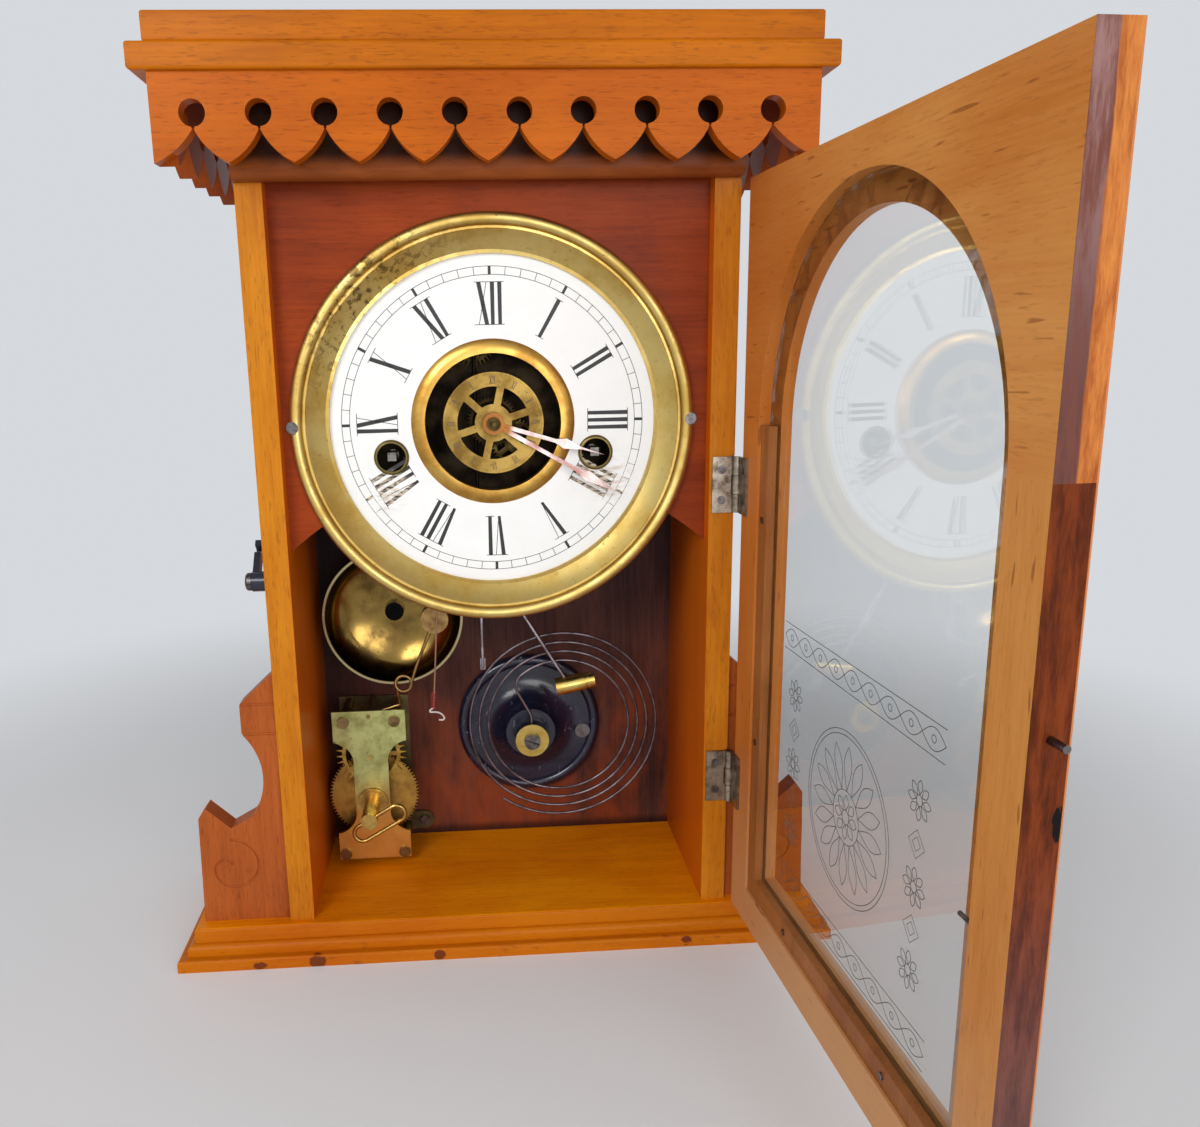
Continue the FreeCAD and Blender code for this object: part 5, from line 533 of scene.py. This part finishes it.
# Name, bright and dull colour, roughness, spots, scale of the tarnish, and the nodes that have it
PLAIN_METALS = (
    ("disc_brass", (166, 136, 72), (124, 96, 46), 0.4, 0.5, 90.0, ("alarm_disc",)),
    # paler brass: its own colour lifted by a painted highlight
    ("bright_brass", (222, 194, 112), (180, 144, 66), 0.24, 0.4, 70.0, ("gong_washer", "gong_hammer_head")),
    ("back_plate_brass", (112, 98, 66), (72, 60, 42), 0.4, 0.6, 110.0, ("alarm_back_plate",)),
    # near black, as painted shade inside the movement
    ("dark_plate_brass", (46, 38, 28), (24, 20, 16), 0.5, 0.6, 110.0,
     ("movement_front_plate", "movement_back_plate")),
    # dark and dull, as painted shade on the wheels inside the movement
    ("dull_wheel_brass", (92, 76, 42), (54, 42, 24), 0.45, 0.6, 140.0,
     ("motion_wheel", "time_main_wheel", "time_second_wheel", "centre_wheel", "third_wheel", "escape_wheel",
      "strike_main_wheel", "strike_second_wheel", "strike_fly")),
    ("wheel_brass", (196, 160, 80), (146, 110, 52), 0.32, 0.5, 140.0,
     ("alarm_main_wheel", "alarm_escape_wheel")),
    ("key_brass", (206, 172, 96), (160, 122, 62), 0.22, 0.5, 150.0, ("alarm_key",)),
    ("wire_steel", (178, 176, 184), (126, 118, 122), 0.26, 0.5, 160.0, ("gong_hammer_arm",)),
    ("hammer_bronze", (168, 134, 86), (112, 84, 50), 0.34, 0.5, 140.0, ("alarm_hammer",)),
    ("gong_steel", (132, 122, 128), (84, 72, 76), 0.3, 0.5, 160.0, ("gong_coil",)),
    ("dull_steel", (126, 122, 116), (76, 70, 64), 0.36, 0.6, 160.0,
     ("movement_pillars", "time_winding_arbor", "strike_winding_arbor", "mainsprings")),
    ("pillar_bronze", (150, 128, 88), (98, 78, 48), 0.3, 0.6, 160.0, ("alarm_pillars",)),
    ("nail_steel", (128, 122, 122), (72, 64, 62), 0.3, 0.6, 300.0, ("door_nails",)),
    ("hinge_nickel", (178, 166, 150), (104, 88, 74), 0.3, 0.9, 190.0,
     ("hinge_case_leaves", "hinge_door_leaves")),
)
for *metal_facts, metal_nodes in PLAIN_METALS:
    dress(metal(*metal_facts), *metal_nodes)

BEZEL_STAIN = (DIAL_X - 52, DIAL_FRONT, DIAL_Z + 52)
BEZEL_STAIN_REACH = 62.0
BEZEL_BLOTCH = (0.5, 0.62)
BEZEL_DOT = (0.7, 0.76)
BEZEL_DOT_SHARE = 0.7
BEZEL_BROWN = (84, 58, 28)


def bezel_brass():
    """Turned brass with brown spots that crowd its upper left."""
    finish = metal("bezel_brass", (216, 190, 118), (196, 162, 84), 0.36, 0.2, 60.0, dial_axis)
    blotch = finish.ramp(finish.noise(scale=330.0, detail=4.0, rough=0.65, twist=0.4), *BEZEL_BLOTCH)
    small = finish.ramp(finish.noise(scale=520.0, detail=2.0, rough=0.5), *BEZEL_DOT)
    stained = finish.times(finish.spot(BEZEL_STAIN, BEZEL_STAIN_REACH), blotch)
    spread = finish.most(stained, finish.times(small, BEZEL_DOT_SHARE))
    finish.set(Base_Color=finish.paint(finish.aged, spread, BEZEL_BROWN, strength=0.85))
    return finish


GROMMET_REACH = (33.0, 34.0)
GROMMET_OLIVE = (112, 98, 58)


def ring_brass():
    """Golden ring in the middle of the dial, and dull olive rings at the winding holes."""
    finish = metal("ring_brass", (206, 164, 84), (172, 124, 52), 0.3, 0.3, 90.0, dial_axis)
    outside = finish.ramp_mm(finish.from_axis(dial_axis), *GROMMET_REACH)
    finish.set(Base_Color=finish.paint(finish.aged, outside, GROMMET_OLIVE))
    return finish


BELL_WALL = (24.0, 29.0)
BELL_RIM = (29.6, 30.0)
BELL_WALL_SHADE = (26, 20, 12)
BELL_RIM_HIGHLIGHT = (176, 160, 118)


def bell_bronze():
    """Bell bright in its bowl, with painted shade up its wall and a painted highlight on its thin pale rim.
    """
    finish = metal("bell_bronze", (150, 122, 64), (92, 72, 38), 0.16, 0.5, 80.0)
    away = finish.from_axis(bell_axis)
    # painted shade up the bowl's wall
    dark = finish.paint(finish.aged, finish.ramp_mm(away, *BELL_WALL), BELL_WALL_SHADE, strength=0.8)
    # painted highlight on the thin rim
    finish.set(Base_Color=finish.paint(dark, finish.ramp_mm(away, *BELL_RIM), BELL_RIM_HIGHLIGHT))
    return finish


PLATE_RISE = (38.0, 62.0)
PLATE_COPPER = (220, 156, 72)


def plate_brass():
    """Alarm plate: coppery foot, and above it greenish brass, partly its own tint and partly a painted
    reflection of a blue-green surround.
    """
    # greenish colours: the brass tint with a painted reflection of a blue-green surround
    finish = metal("plate_brass", (196, 196, 130), (150, 150, 92), 0.36, 0.6, 110.0)
    low = finish.fall_mm(finish.along(ALONG_Z), *PLATE_RISE)
    finish.set(Base_Color=finish.paint(finish.aged, low, PLATE_COPPER, strength=0.85))
    return finish


HUB_REACH = (6.0, 9.0)
HUB_COPPER = (150, 96, 52)
BEHIND_DISC = (DISC_FRONT + 0.4, DISC_FRONT + 0.8)
BEHIND_DISC_SHADE = (44, 34, 20)


def hand_steel():
    """Pale pinkish hands with a copper hub, and painted shade on the wheels behind them."""
    finish = metal("hand_steel", (214, 200, 196), (190, 140, 132), 0.36, 0.3, 120.0)
    copper = finish.paint(finish.aged, finish.fall_mm(finish.from_axis(dial_axis), *HUB_REACH), HUB_COPPER)
    # painted shade: dark on the parts behind the alarm disc
    behind = finish.ramp_mm(finish.along(ALONG_Y), *BEHIND_DISC)
    finish.set(Base_Color=finish.paint(copper, behind, BEHIND_DISC_SHADE))
    return finish


ROD_SHADE = (158.0, 172.0)
ROD_SHADE_DARK = (30, 26, 24)


def rod_steel():
    """Pendulum wire, bright at its hook, with painted shade where it runs up behind the dial."""
    finish = metal("rod_steel", (178, 176, 184), (126, 118, 122), 0.3, 0.5, 160.0)
    # painted shade: dark where the rod runs up behind the dial
    high = finish.ramp_mm(finish.along(ALONG_Z), *ROD_SHADE)
    finish.set(Base_Color=finish.paint(finish.aged, high, ROD_SHADE_DARK))
    return finish


NUT_REACH = 22.0
NUT_STEP = (0.05, 0.2)
NUT_BLACK = (16, 14, 14)


def screw_steel():
    """Steel screws, and a black nut in the middle of the bell."""
    finish = metal("screw_steel", (128, 122, 122), (72, 64, 62), 0.3, 0.6, 300.0)
    near = finish.ramp(finish.spot(BELL_PLACE, NUT_REACH), *NUT_STEP)
    finish.set(Base_Color=finish.paint(finish.aged, near, NUT_BLACK))
    return finish


NICK_DRAW = 0.45
NICK_STEP = (0.66, 0.7)
NICK_PALE = (150, 150, 160)
IRON_DARK = (9, 9, 18)
IRON_NAVY_TONE_AND_SHEEN = (34, 34, 60)


def black_iron():
    """Glossy black paint over cast iron, with a navy tint that is partly its own and partly a painted
    reflection, and pale nicks.
    """
    finish = Finish("black_iron")
    nick_place = finish.draw_out(ALONG_Z, NICK_DRAW)
    scratched = finish.noise(scale=420.0, detail=4.0, rough=0.6, twist=1.2, place=nick_place)
    nicks = finish.ramp(scratched, *NICK_STEP)
    cloud = finish.noise(scale=60.0)
    # navy tint: partly the paint's own and partly a painted reflection of a blue surround
    body = finish.two_tone(cloud, IRON_DARK, IRON_NAVY_TONE_AND_SHEEN)
    finish.set(Base_Color=finish.paint(body, nicks, NICK_PALE, strength=0.5))
    finish.set(Coat_Weight=0.3, Coat_Roughness=0.12)
    finish.set_roughness(cloud, start=0.16, spread=0.2)
    finish.bump(finish.noise(scale=700.0), depth=0.08, strength=0.5)
    return finish


dress(bezel_brass(), "bezel")
dress(ring_brass(), "dial_rings")
dress(bell_bronze(), "alarm_bell")
dress(plate_brass(), "alarm_front_plate")
dress(hand_steel(), "minute_hand", "hour_hand")
dress(rod_steel(), "pendulum_rod", "verge_crutch")
dress(screw_steel(), "case_screws")
dress(black_iron(), "gong_base", "latch_hook")


# Dial paint, ink and glass
STAINS = ((45.0, -22.0, 13.0), (-42.0, -28.0, 9.0))
PAINT_DARK = (236, 235, 232)
PAINT_LIGHT = (246, 246, 245)
PAINT_STAIN = (178, 142, 96)
PAINT_STRETCH = (0.5, 1.0, 1.6)
PAINT_WORN = (0.42, 0.66)
INK_DARK = (14, 12, 14)
INK_LIGHT = (40, 36, 38)
INK_RUBBED = (206, 188, 164)
INK_STRETCH = (0.6, 1.0, 1.5)
INK_WORN = (0.4, 0.6)
INK_STAIN_GROWTH = 1.6
INK_STAIN_STEP = (0.05, 0.5)
GLASS_TINT = (250, 252, 252)


def stain_mask(finish, growth):
    """1 in the middle of the dial's two stains, whose reach is grown by a factor."""
    spots = []
    for across, upward, reach in STAINS:
        spots.append(finish.spot((DIAL_X + across, DIAL_FRONT, DIAL_Z + upward), reach * growth))
    return finish.most(*spots)


def dial_white():
    """White dial paint, slightly mottled, worn brown at two figures."""
    finish = Finish("dial_paint")
    mottled = finish.noise(scale=90.0, detail=4.0, rough=0.6)
    body = finish.two_tone(mottled, PAINT_DARK, PAINT_LIGHT)
    rubbed_place = finish.stretch(finish.where, PAINT_STRETCH)
    rubbed = finish.noise(scale=420.0, detail=4.0, rough=0.65, place=rubbed_place)
    worn = finish.times(stain_mask(finish, growth=1.0), finish.ramp(rubbed, *PAINT_WORN))
    finish.set(Base_Color=finish.paint(body, worn, PAINT_STAIN, strength=0.8))
    finish.set_roughness(mottled, start=0.28, spread=0.2)
    finish.bump(finish.noise(scale=1300.0, detail=2.0), depth=0.02, strength=0.4)
    return finish


def dial_ink():
    """Black print that is rubbed pale at the stained figures."""
    finish = Finish("dial_ink")
    body = finish.two_tone(finish.noise(scale=1700.0, detail=2.0, rough=0.6), INK_DARK, INK_LIGHT)
    rubbed_place = finish.stretch(finish.where, INK_STRETCH)
    rubbed = finish.ramp(finish.noise(scale=650.0, detail=4.0, rough=0.65, place=rubbed_place), *INK_WORN)
    worn = finish.times(finish.ramp(stain_mask(finish, INK_STAIN_GROWTH), *INK_STAIN_STEP), rubbed)
    finish.set(Base_Color=finish.paint(body, worn, INK_RUBBED), Roughness=0.45)
    return finish


def clear_glass():
    """Clear glass, slightly wavy."""
    finish = Finish("clear_glass")
    finish.set(Base_Color=colour(*GLASS_TINT), Transmission_Weight=1.0, IOR=1.46, Roughness=0.0)
    finish.bump(finish.noise(scale=26.0, detail=2.0), depth=0.15, strength=0.25)
    return finish


def mottled_ink(name, scale, dark, light):
    finish = Finish(name)
    finish.set(Base_Color=finish.two_tone(finish.noise(scale), dark, light), Roughness=0.5)
    return finish


dress(dial_white(), "dial_plate")
dress(clear_glass(), "door_glass")


# Flat pieces of ink and paint
INK_HEIGHT = 0.05


def on_dial(across, upward, height):
    return Vector((DIAL_X + across, DIAL_FRONT - height, DIAL_Z + upward)) * MM


def on_disc(across, upward, height):
    return Vector((DIAL_X + across, DISC_FRONT - height, DIAL_Z + upward)) * MM


def on_glass(across, upward, height):
    return door_turn @ (Vector((across, GLASS_BACK + height, upward)) * MM)


def strip(mesh, points, widths, plane, closed=False):
    """Flat closed strip along points, with its own width at each."""
    count = len(points)
    rings = []
    for index, point in enumerate(points):
        before = points[index - 1] if closed or index else point
        after = points[(index + 1) % count] if closed or index + 1 < count else point
        along = Vector((after[0] - before[0], after[1] - before[1])).normalized()
        half = widths[index] / 2
        left = (point[0] - along.y * half, point[1] + along.x * half)
        right = (point[0] + along.y * half, point[1] - along.x * half)
        corners = [plane(*left, 0), plane(*right, 0), plane(*right, INK_HEIGHT), plane(*left, INK_HEIGHT)]
        rings.append([mesh.verts.new(corner) for corner in corners])
    for index in range(count if closed else count - 1):
        one = rings[index]
        two = rings[(index + 1) % count]
        for side in range(len(one)):
            after = (side + 1) % len(one)
            mesh.faces.new((one[side], one[after], two[after], two[side]))
    if not closed:
        mesh.faces.new(rings[0])
        mesh.faces.new(list(reversed(rings[-1])))


def on_circle(radius, turn):
    return (radius * math.sin(turn), radius * math.cos(turn))


def circle_points(radius, count):
    return [on_circle(radius, FULL_TURN * index / count) for index in range(count)]


def mesh_data(name, mesh):
    data = bpy.data.meshes.new(name)
    mesh.to_mesh(data)
    mesh.free()
    return data


def make_piece(name, mesh, finish, body):
    bmesh.ops.recalc_face_normals(mesh, faces=mesh.faces[:])
    data = mesh_data(name, mesh)
    piece = new_object(name, data)
    data.materials.append(finish.material)
    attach(piece, body)


# Numerals, with their feet to the middle of the dial
NUMERALS = ("I", "II", "III", "IIII", "V", "VI", "VII", "VIII", "IX", "X", "XI", "XII")
HOUR_STEP = 30
UPRIGHT_FOOT = 0.86
VEE_FOOT = 0.7


def numeral_strokes(word, letter):
    """Strokes of a numeral in its own upright box: start, end and the two widths."""
    pitch, vee, thick, thin, over = (letter[key] for key in ("pitch", "vee", "thick", "thin", "over"))
    widths = {"I": pitch, "V": vee, "X": vee}
    inset = thick / 2
    reach = inset + over
    left = -sum(widths[mark] for mark in word) / 2
    strokes = []
    for mark in word:
        right = left + widths[mark]
        middle = (left + right) / 2
        if mark == "I":
            strokes.append(((middle, 0), (middle, 1), thick * UPRIGHT_FOOT, thick))
            serifs = [(middle, 0), (middle, 1)]
        elif mark == "V":
            strokes.append(((middle, 0), (left + inset, 1), thick * VEE_FOOT, thick))
            strokes.append(((middle + thin, 0), (right - inset, 1), thin, thin))
            serifs = [(left + inset, 1), (right - inset, 1)]
        else:
            strokes.append(((right - inset, 0), (left + inset, 1), thick, thick))
            strokes.append(((left + inset, 0), (right - inset, 1), thin, thin))
            serifs = [(left + inset, 0), (right - inset, 0), (left + inset, 1), (right - inset, 1)]
        for across, level in serifs:
            strokes.append(((across - reach, level), (across + reach, level), thin, thin))
        left = right
    return strokes


def numeral(mesh, word, turn, inner, outer, letter, plane):
    sine = math.sin(turn)
    cosine = math.cos(turn)

    def at(across, level):
        radius = inner + (outer - inner) * level
        return (radius * sine + across * cosine, radius * cosine - across * sine)

    for start, end, first, last in numeral_strokes(word, letter):
        strip(mesh, [at(*start), at(*end)], [first, last], plane)


DIAL_LETTER = {"pitch": 2.8, "vee": 4.6, "thick": 1.6, "thin": 0.24, "over": 0.9}
TRACK_OUTER = 58.8
TRACK_INNER = 55.7
TRACK_LINE = 0.22
TRACK_POINTS = 144
MINUTES = 60
MINUTE_STEP = 6
MINUTES_TO_MARK = 5
HOUR_MARK = 1.1
NUMERAL_OUTER = 53.0
NUMERAL_INNER = 37.2


def dial_print():
    mesh = bmesh.new()
    for radius in (TRACK_OUTER, TRACK_INNER):
        strip(mesh, circle_points(radius, TRACK_POINTS), [TRACK_LINE] * TRACK_POINTS, on_dial, closed=True)
    for minute in range(MINUTES):
        turn = math.radians(MINUTE_STEP * minute)
        width = TRACK_LINE if minute % MINUTES_TO_MARK else HOUR_MARK
        strip(mesh, [on_circle(TRACK_INNER, turn), on_circle(TRACK_OUTER, turn)], [width, width], on_dial)
    for hour, word in enumerate(NUMERALS, 1):
        turn = math.radians(HOUR_STEP * hour)
        numeral(mesh, word, turn, NUMERAL_INNER, NUMERAL_OUTER, DIAL_LETTER, on_dial)
    make_piece("dial_print", mesh, dial_ink(), "case")


dial_print()

DISC_LETTER = {"pitch": 0.62, "vee": 1.1, "thick": 0.34, "thin": 0.14, "over": 0.16}
DISC_INNER = 15.0
DISC_OUTER = 17.9


def disc_print():
    """Figures of the alarm disc, which count against the clock."""
    finish = mottled_ink("disc_ink", 900.0, (72, 54, 26), (104, 80, 40))
    mesh = bmesh.new()
    for hour, word in enumerate(NUMERALS, 1):
        turn = math.radians(-HOUR_STEP * hour)
        numeral(mesh, word, turn, DISC_INNER, DISC_OUTER, DISC_LETTER, on_disc)
    make_piece("alarm_disc_print", mesh, finish, "alarm_setter")


disc_print()


# Generic ornament of rings, rosettes, wave bands and diamonds on the lower glass
LINE = 0.26
ORNAMENT_MIDDLE = 100.0
ORNAMENT_HALF = 54.0
BAND_OFFSET = 46.0
BAND_WAVES = 9
BAND_SWING = 3.2
BAND_MARGIN = 1.6
WAVE_STEPS = 16
BEAD_RADIUS = 1.1
BEAD_POINTS = 16
MIDDLE_RINGS = (27.0, 28.6)
MIDDLE_RING_POINTS = 72
MIDDLE_ROSETTES = ((9.0, 24.0, 16), (2.4, 7.6, 8))
SIDE_ROSETTE = (1.6, 6.0, 8)
SIDE_OFFSET = 43.0
SIDE_STEP = 26.0
DIAMOND_SIZES = (2.2, 4.4)
ROSETTE_POINTS = 24
PETAL_STEPS = 8
PETAL_LEAN = 0.8


def glass_ornament():
    mesh = bmesh.new()

    def draw(points, closed=False):
        placed = [(DOOR_MIDDLE + across, upward) for across, upward in points]
        strip(mesh, placed, [LINE] * len(placed), on_glass, closed)

    def ring(across, upward, radius, count):
        draw([(across + x, upward + z) for x, z in circle_points(radius, count)], True)

    def rosette(across, upward, inner, outer, petals):
        ring(across, upward, inner, ROSETTE_POINTS)
        lean = PETAL_LEAN * math.pi / petals
        for petal in range(petals):
            middle = FULL_TURN * petal / petals
            for side in (-1, 1):
                points = []
                for step in range(PETAL_STEPS + 1):
                    share = step / PETAL_STEPS
                    turn = middle + side * lean * math.sin(math.pi * share)
                    reach = inner + (outer - inner) * share
                    points.append((across + reach * math.cos(turn), upward + reach * math.sin(turn)))
                draw(points)

    def band(height):
        for edge in (-1, 1):
            rail = height + edge * (BAND_SWING + BAND_MARGIN)
            draw([(-ORNAMENT_HALF, rail), (ORNAMENT_HALF, rail)])
        steps = WAVE_STEPS * BAND_WAVES
        for phase in (0, math.pi):
            points = []
            for step in range(steps + 1):
                turn = math.pi * step / WAVE_STEPS
                across = -ORNAMENT_HALF + 2 * ORNAMENT_HALF * step / steps
                points.append((across, height + BAND_SWING * math.sin(turn + phase)))
            draw(points)
        for wave in range(BAND_WAVES):
            across = -ORNAMENT_HALF + 2 * ORNAMENT_HALF * (wave + 0.5) / BAND_WAVES
            ring(across, height, BEAD_RADIUS, BEAD_POINTS)

    for level in (-1, 1):
        band(ORNAMENT_MIDDLE + level * BAND_OFFSET)
    for radius in MIDDLE_RINGS:
        ring(0, ORNAMENT_MIDDLE, radius, MIDDLE_RING_POINTS)
    for shape in MIDDLE_ROSETTES:
        rosette(0, ORNAMENT_MIDDLE, *shape)
    for side in (-1, 1):
        across = side * SIDE_OFFSET
        for level in (-1, 0, 1):
            rosette(across, ORNAMENT_MIDDLE + level * SIDE_STEP, *SIDE_ROSETTE)
        for level in (-1, 1):
            upward = ORNAMENT_MIDDLE + level * SIDE_STEP / 2
            for size in DIAMOND_SIZES:
                draw([(across + size, upward), (across, upward + size), (across - size, upward),
                      (across, upward - size)], True)
    finish = mottled_ink("glass_ornament", 700.0, (52, 58, 56), (104, 110, 102))
    make_piece("glass_ornament", mesh, finish, "door")


glass_ornament()


# Alarm cord
THREAD_ROUNDNESS = 3
THREAD_STEPS = 12
THREAD_ORDER = 3


def thread(name, points, radius, finish):
    data = bpy.data.curves.new(name, "CURVE")
    data.dimensions = "3D"
    data.bevel_depth = radius * MM
    data.bevel_resolution = THREAD_ROUNDNESS
    data.resolution_u = THREAD_STEPS
    data.use_fill_caps = True
    line = data.splines.new("NURBS")
    line.points.add(len(points) - 1)
    for point, place in zip(line.points, points):
        point.co = (*[value * MM for value in place], 1.0)
    line.order_u = THREAD_ORDER
    line.use_endpoint_u = True
    piece = new_object(name, data)
    data.materials.append(finish.material)
    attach(piece, "case")
    return piece


def cord_finish(name, dark, light):
    """Twisted thread."""
    finish = Finish(name)
    twist = finish.add("ShaderNodeTexWave", {
        "Vector": finish.where, "Scale": 900.0, "Distortion": 2.0, "Detail": 1.0},
        bands_direction="DIAGONAL").outputs["Fac"]
    finish.set(Base_Color=finish.two_tone(twist, dark, light), Roughness=0.7)
    finish.bump(twist, depth=0.1)
    return finish


KNOT_TURNS = 6
KNOT_STEPS = 10
KNOT_RADIUS = 1.15
KNOT_THREAD = 0.24
KNOT_RISE = 5.6
KNOT_DROP = 1.6
KNOT_ENDS = 0.72
KNOT_SWELL = 0.34
KNOT_WOBBLE = 0.1
KNOT_WOBBLES = 3
CURL = ((-30.0, -0.6, 95.2), (-31.6, -1.0, 94.6), (-32.0, -1.4, 93.4), (-30.0, -1.6, 93.6),
        (-27.8, -1.4, 93.2), (-26.2, -1.2, 91.8), (-25.4, -1.0, 90.2), (-26.4, -0.8, 89.2),
        (-28.0, -0.8, 89.6))
CURL_RADIUS = 0.4


def knot_wraps(end):
    """Points of a thread wound round the cord's end, widest in the middle."""
    wraps = []
    steps = KNOT_TURNS * KNOT_STEPS
    for step in range(steps + 1):
        share = step / steps
        turn = FULL_TURN * step / KNOT_STEPS
        swell = KNOT_SWELL * math.sin(math.pi * share)
        wobble = KNOT_WOBBLE * math.sin(KNOT_WOBBLES * turn)
        radius = KNOT_RADIUS * (KNOT_ENDS + swell + wobble)
        wraps.append((end[0] + radius * math.cos(turn), end[1] + radius * math.sin(turn),
                      end[2] + KNOT_RISE - (KNOT_RISE + KNOT_DROP) * share))
    return wraps


def alarm_cord():
    red = cord_finish("red_thread", (128, 26, 30), (196, 66, 60))
    pale = cord_finish("pale_thread", (186, 176, 168), (232, 226, 220))
    copper = cord_finish("copper_cord", (126, 84, 62), (178, 132, 104))
    line = thread("alarm_cord_line", CORD_ROUTE, CORD_RADIUS, copper)
    knot = thread("alarm_cord_knot", knot_wraps(CORD_ROUTE[-1]), KNOT_THREAD, red)
    curl = thread("alarm_cord_curl", CURL, CURL_RADIUS, pale)
    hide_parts("alarm_cord")


alarm_cord()


# Stage and light, in metres
STAGE_COLOUR = (238, 239, 241)
STAGE_GLOW = (214, 217, 221)
GLOW_STEP = (0.26, 0.62)
FLOOR_START = 0.001
FLOOR_REACH = 1.1
COVE_RADIUS = 0.9
COVE_HEIGHT = 2.4
COVE_STEPS = 12
STAGE_POINTS = 96
LAMPS = (("key_lamp", (-0.6, -1.2, 0.8), 0.6, 8.4), ("fill_lamp", (0.35, -1.35, 0.3), 0.8, 6.4))
LAMP_TARGET = (0.0, 0.0, 0.18)
WORLD_STRENGTH = 0.5


def stage_finish():
    """Pale floor that keeps the clock's shadow and glows evenly further off."""
    finish = Finish("stage")
    finish.set(Base_Color=colour(*STAGE_COLOUR), Roughness=0.9, Specular_IOR_Level=0.2)
    away = finish.add("ShaderNodeVectorMath", {0: finish.where}, operation="LENGTH").outputs["Value"]
    path = finish.add("ShaderNodeLightPath").outputs
    seen = finish.most(path["Is Camera Ray"], finish.most(path["Is Glossy Ray"], path["Is Transmission Ray"]))
    share = finish.times(finish.ramp(away, *GLOW_STEP), seen)
    glow = finish.add("ShaderNodeEmission", {"Color": colour(*STAGE_GLOW), "Strength": 1.0})
    blend = finish.add("ShaderNodeMixShader", {0: share, 1: finish.shader.outputs[0], 2: glow.outputs[0]})
    ending = finish.tree.nodes["Material Output"]
    finish.tree.links.new(blend.outputs[0], ending.inputs["Surface"])
    return finish


def ring_sheet(name, profile, finish):
    """Sheet turned about the upright axis from a profile of radius and height."""
    mesh = bmesh.new()
    turns = [FULL_TURN * step / STAGE_POINTS for step in range(STAGE_POINTS)]
    rings = []
    for radius, height in profile:
        rings.append([mesh.verts.new((radius * math.cos(turn), radius * math.sin(turn), height))
                      for turn in turns])
    for one, two in zip(rings, rings[1:]):
        for step in range(STAGE_POINTS):
            after = (step + 1) % STAGE_POINTS
            mesh.faces.new((one[step], one[after], two[after], two[step]))
    data = mesh_data(name, mesh)
    for face in data.polygons:
        face.use_smooth = True
    piece = new_object(name, data)
    data.materials.append(finish.material)
    return piece


def lamp(name, place, size, power):
    data = bpy.data.lights.new(name, "AREA")
    data.shape = "DISK"
    data.size = size
    data.energy = power
    piece = new_object(name, data)
    piece.location = place
    piece.rotation_euler = (Vector(LAMP_TARGET) - Vector(place)).to_track_quat("-Z", "Y").to_euler()


def make_stage():
    finish = stage_finish()
    ring_sheet("stage_floor", [(FLOOR_START, 0.0), (FLOOR_REACH, 0.0)], finish)
    cove = [(FLOOR_REACH, 0.0)]
    for step in range(1, COVE_STEPS + 1):
        turn = math.radians(90 * step / COVE_STEPS)
        cove.append((FLOOR_REACH + COVE_RADIUS * math.sin(turn), COVE_RADIUS * (1 - math.cos(turn))))
    cove.append((FLOOR_REACH + COVE_RADIUS, COVE_HEIGHT))
    wall = ring_sheet("stage_cove", cove, finish)
    wall.visible_diffuse = False
    wall.visible_shadow = False
    for name, place, size, power in LAMPS:
        lamp(name, place, size, power)
    world = bpy.data.worlds.new("studio")
    bpy.context.scene.world = world
    world.use_nodes = True
    back = world.node_tree.nodes["Background"]
    back.inputs["Color"].default_value = colour(*STAGE_COLOUR)
    back.inputs["Strength"].default_value = WORLD_STRENGTH


make_stage()
bpy.context.scene.view_settings.view_transform = "Standard"
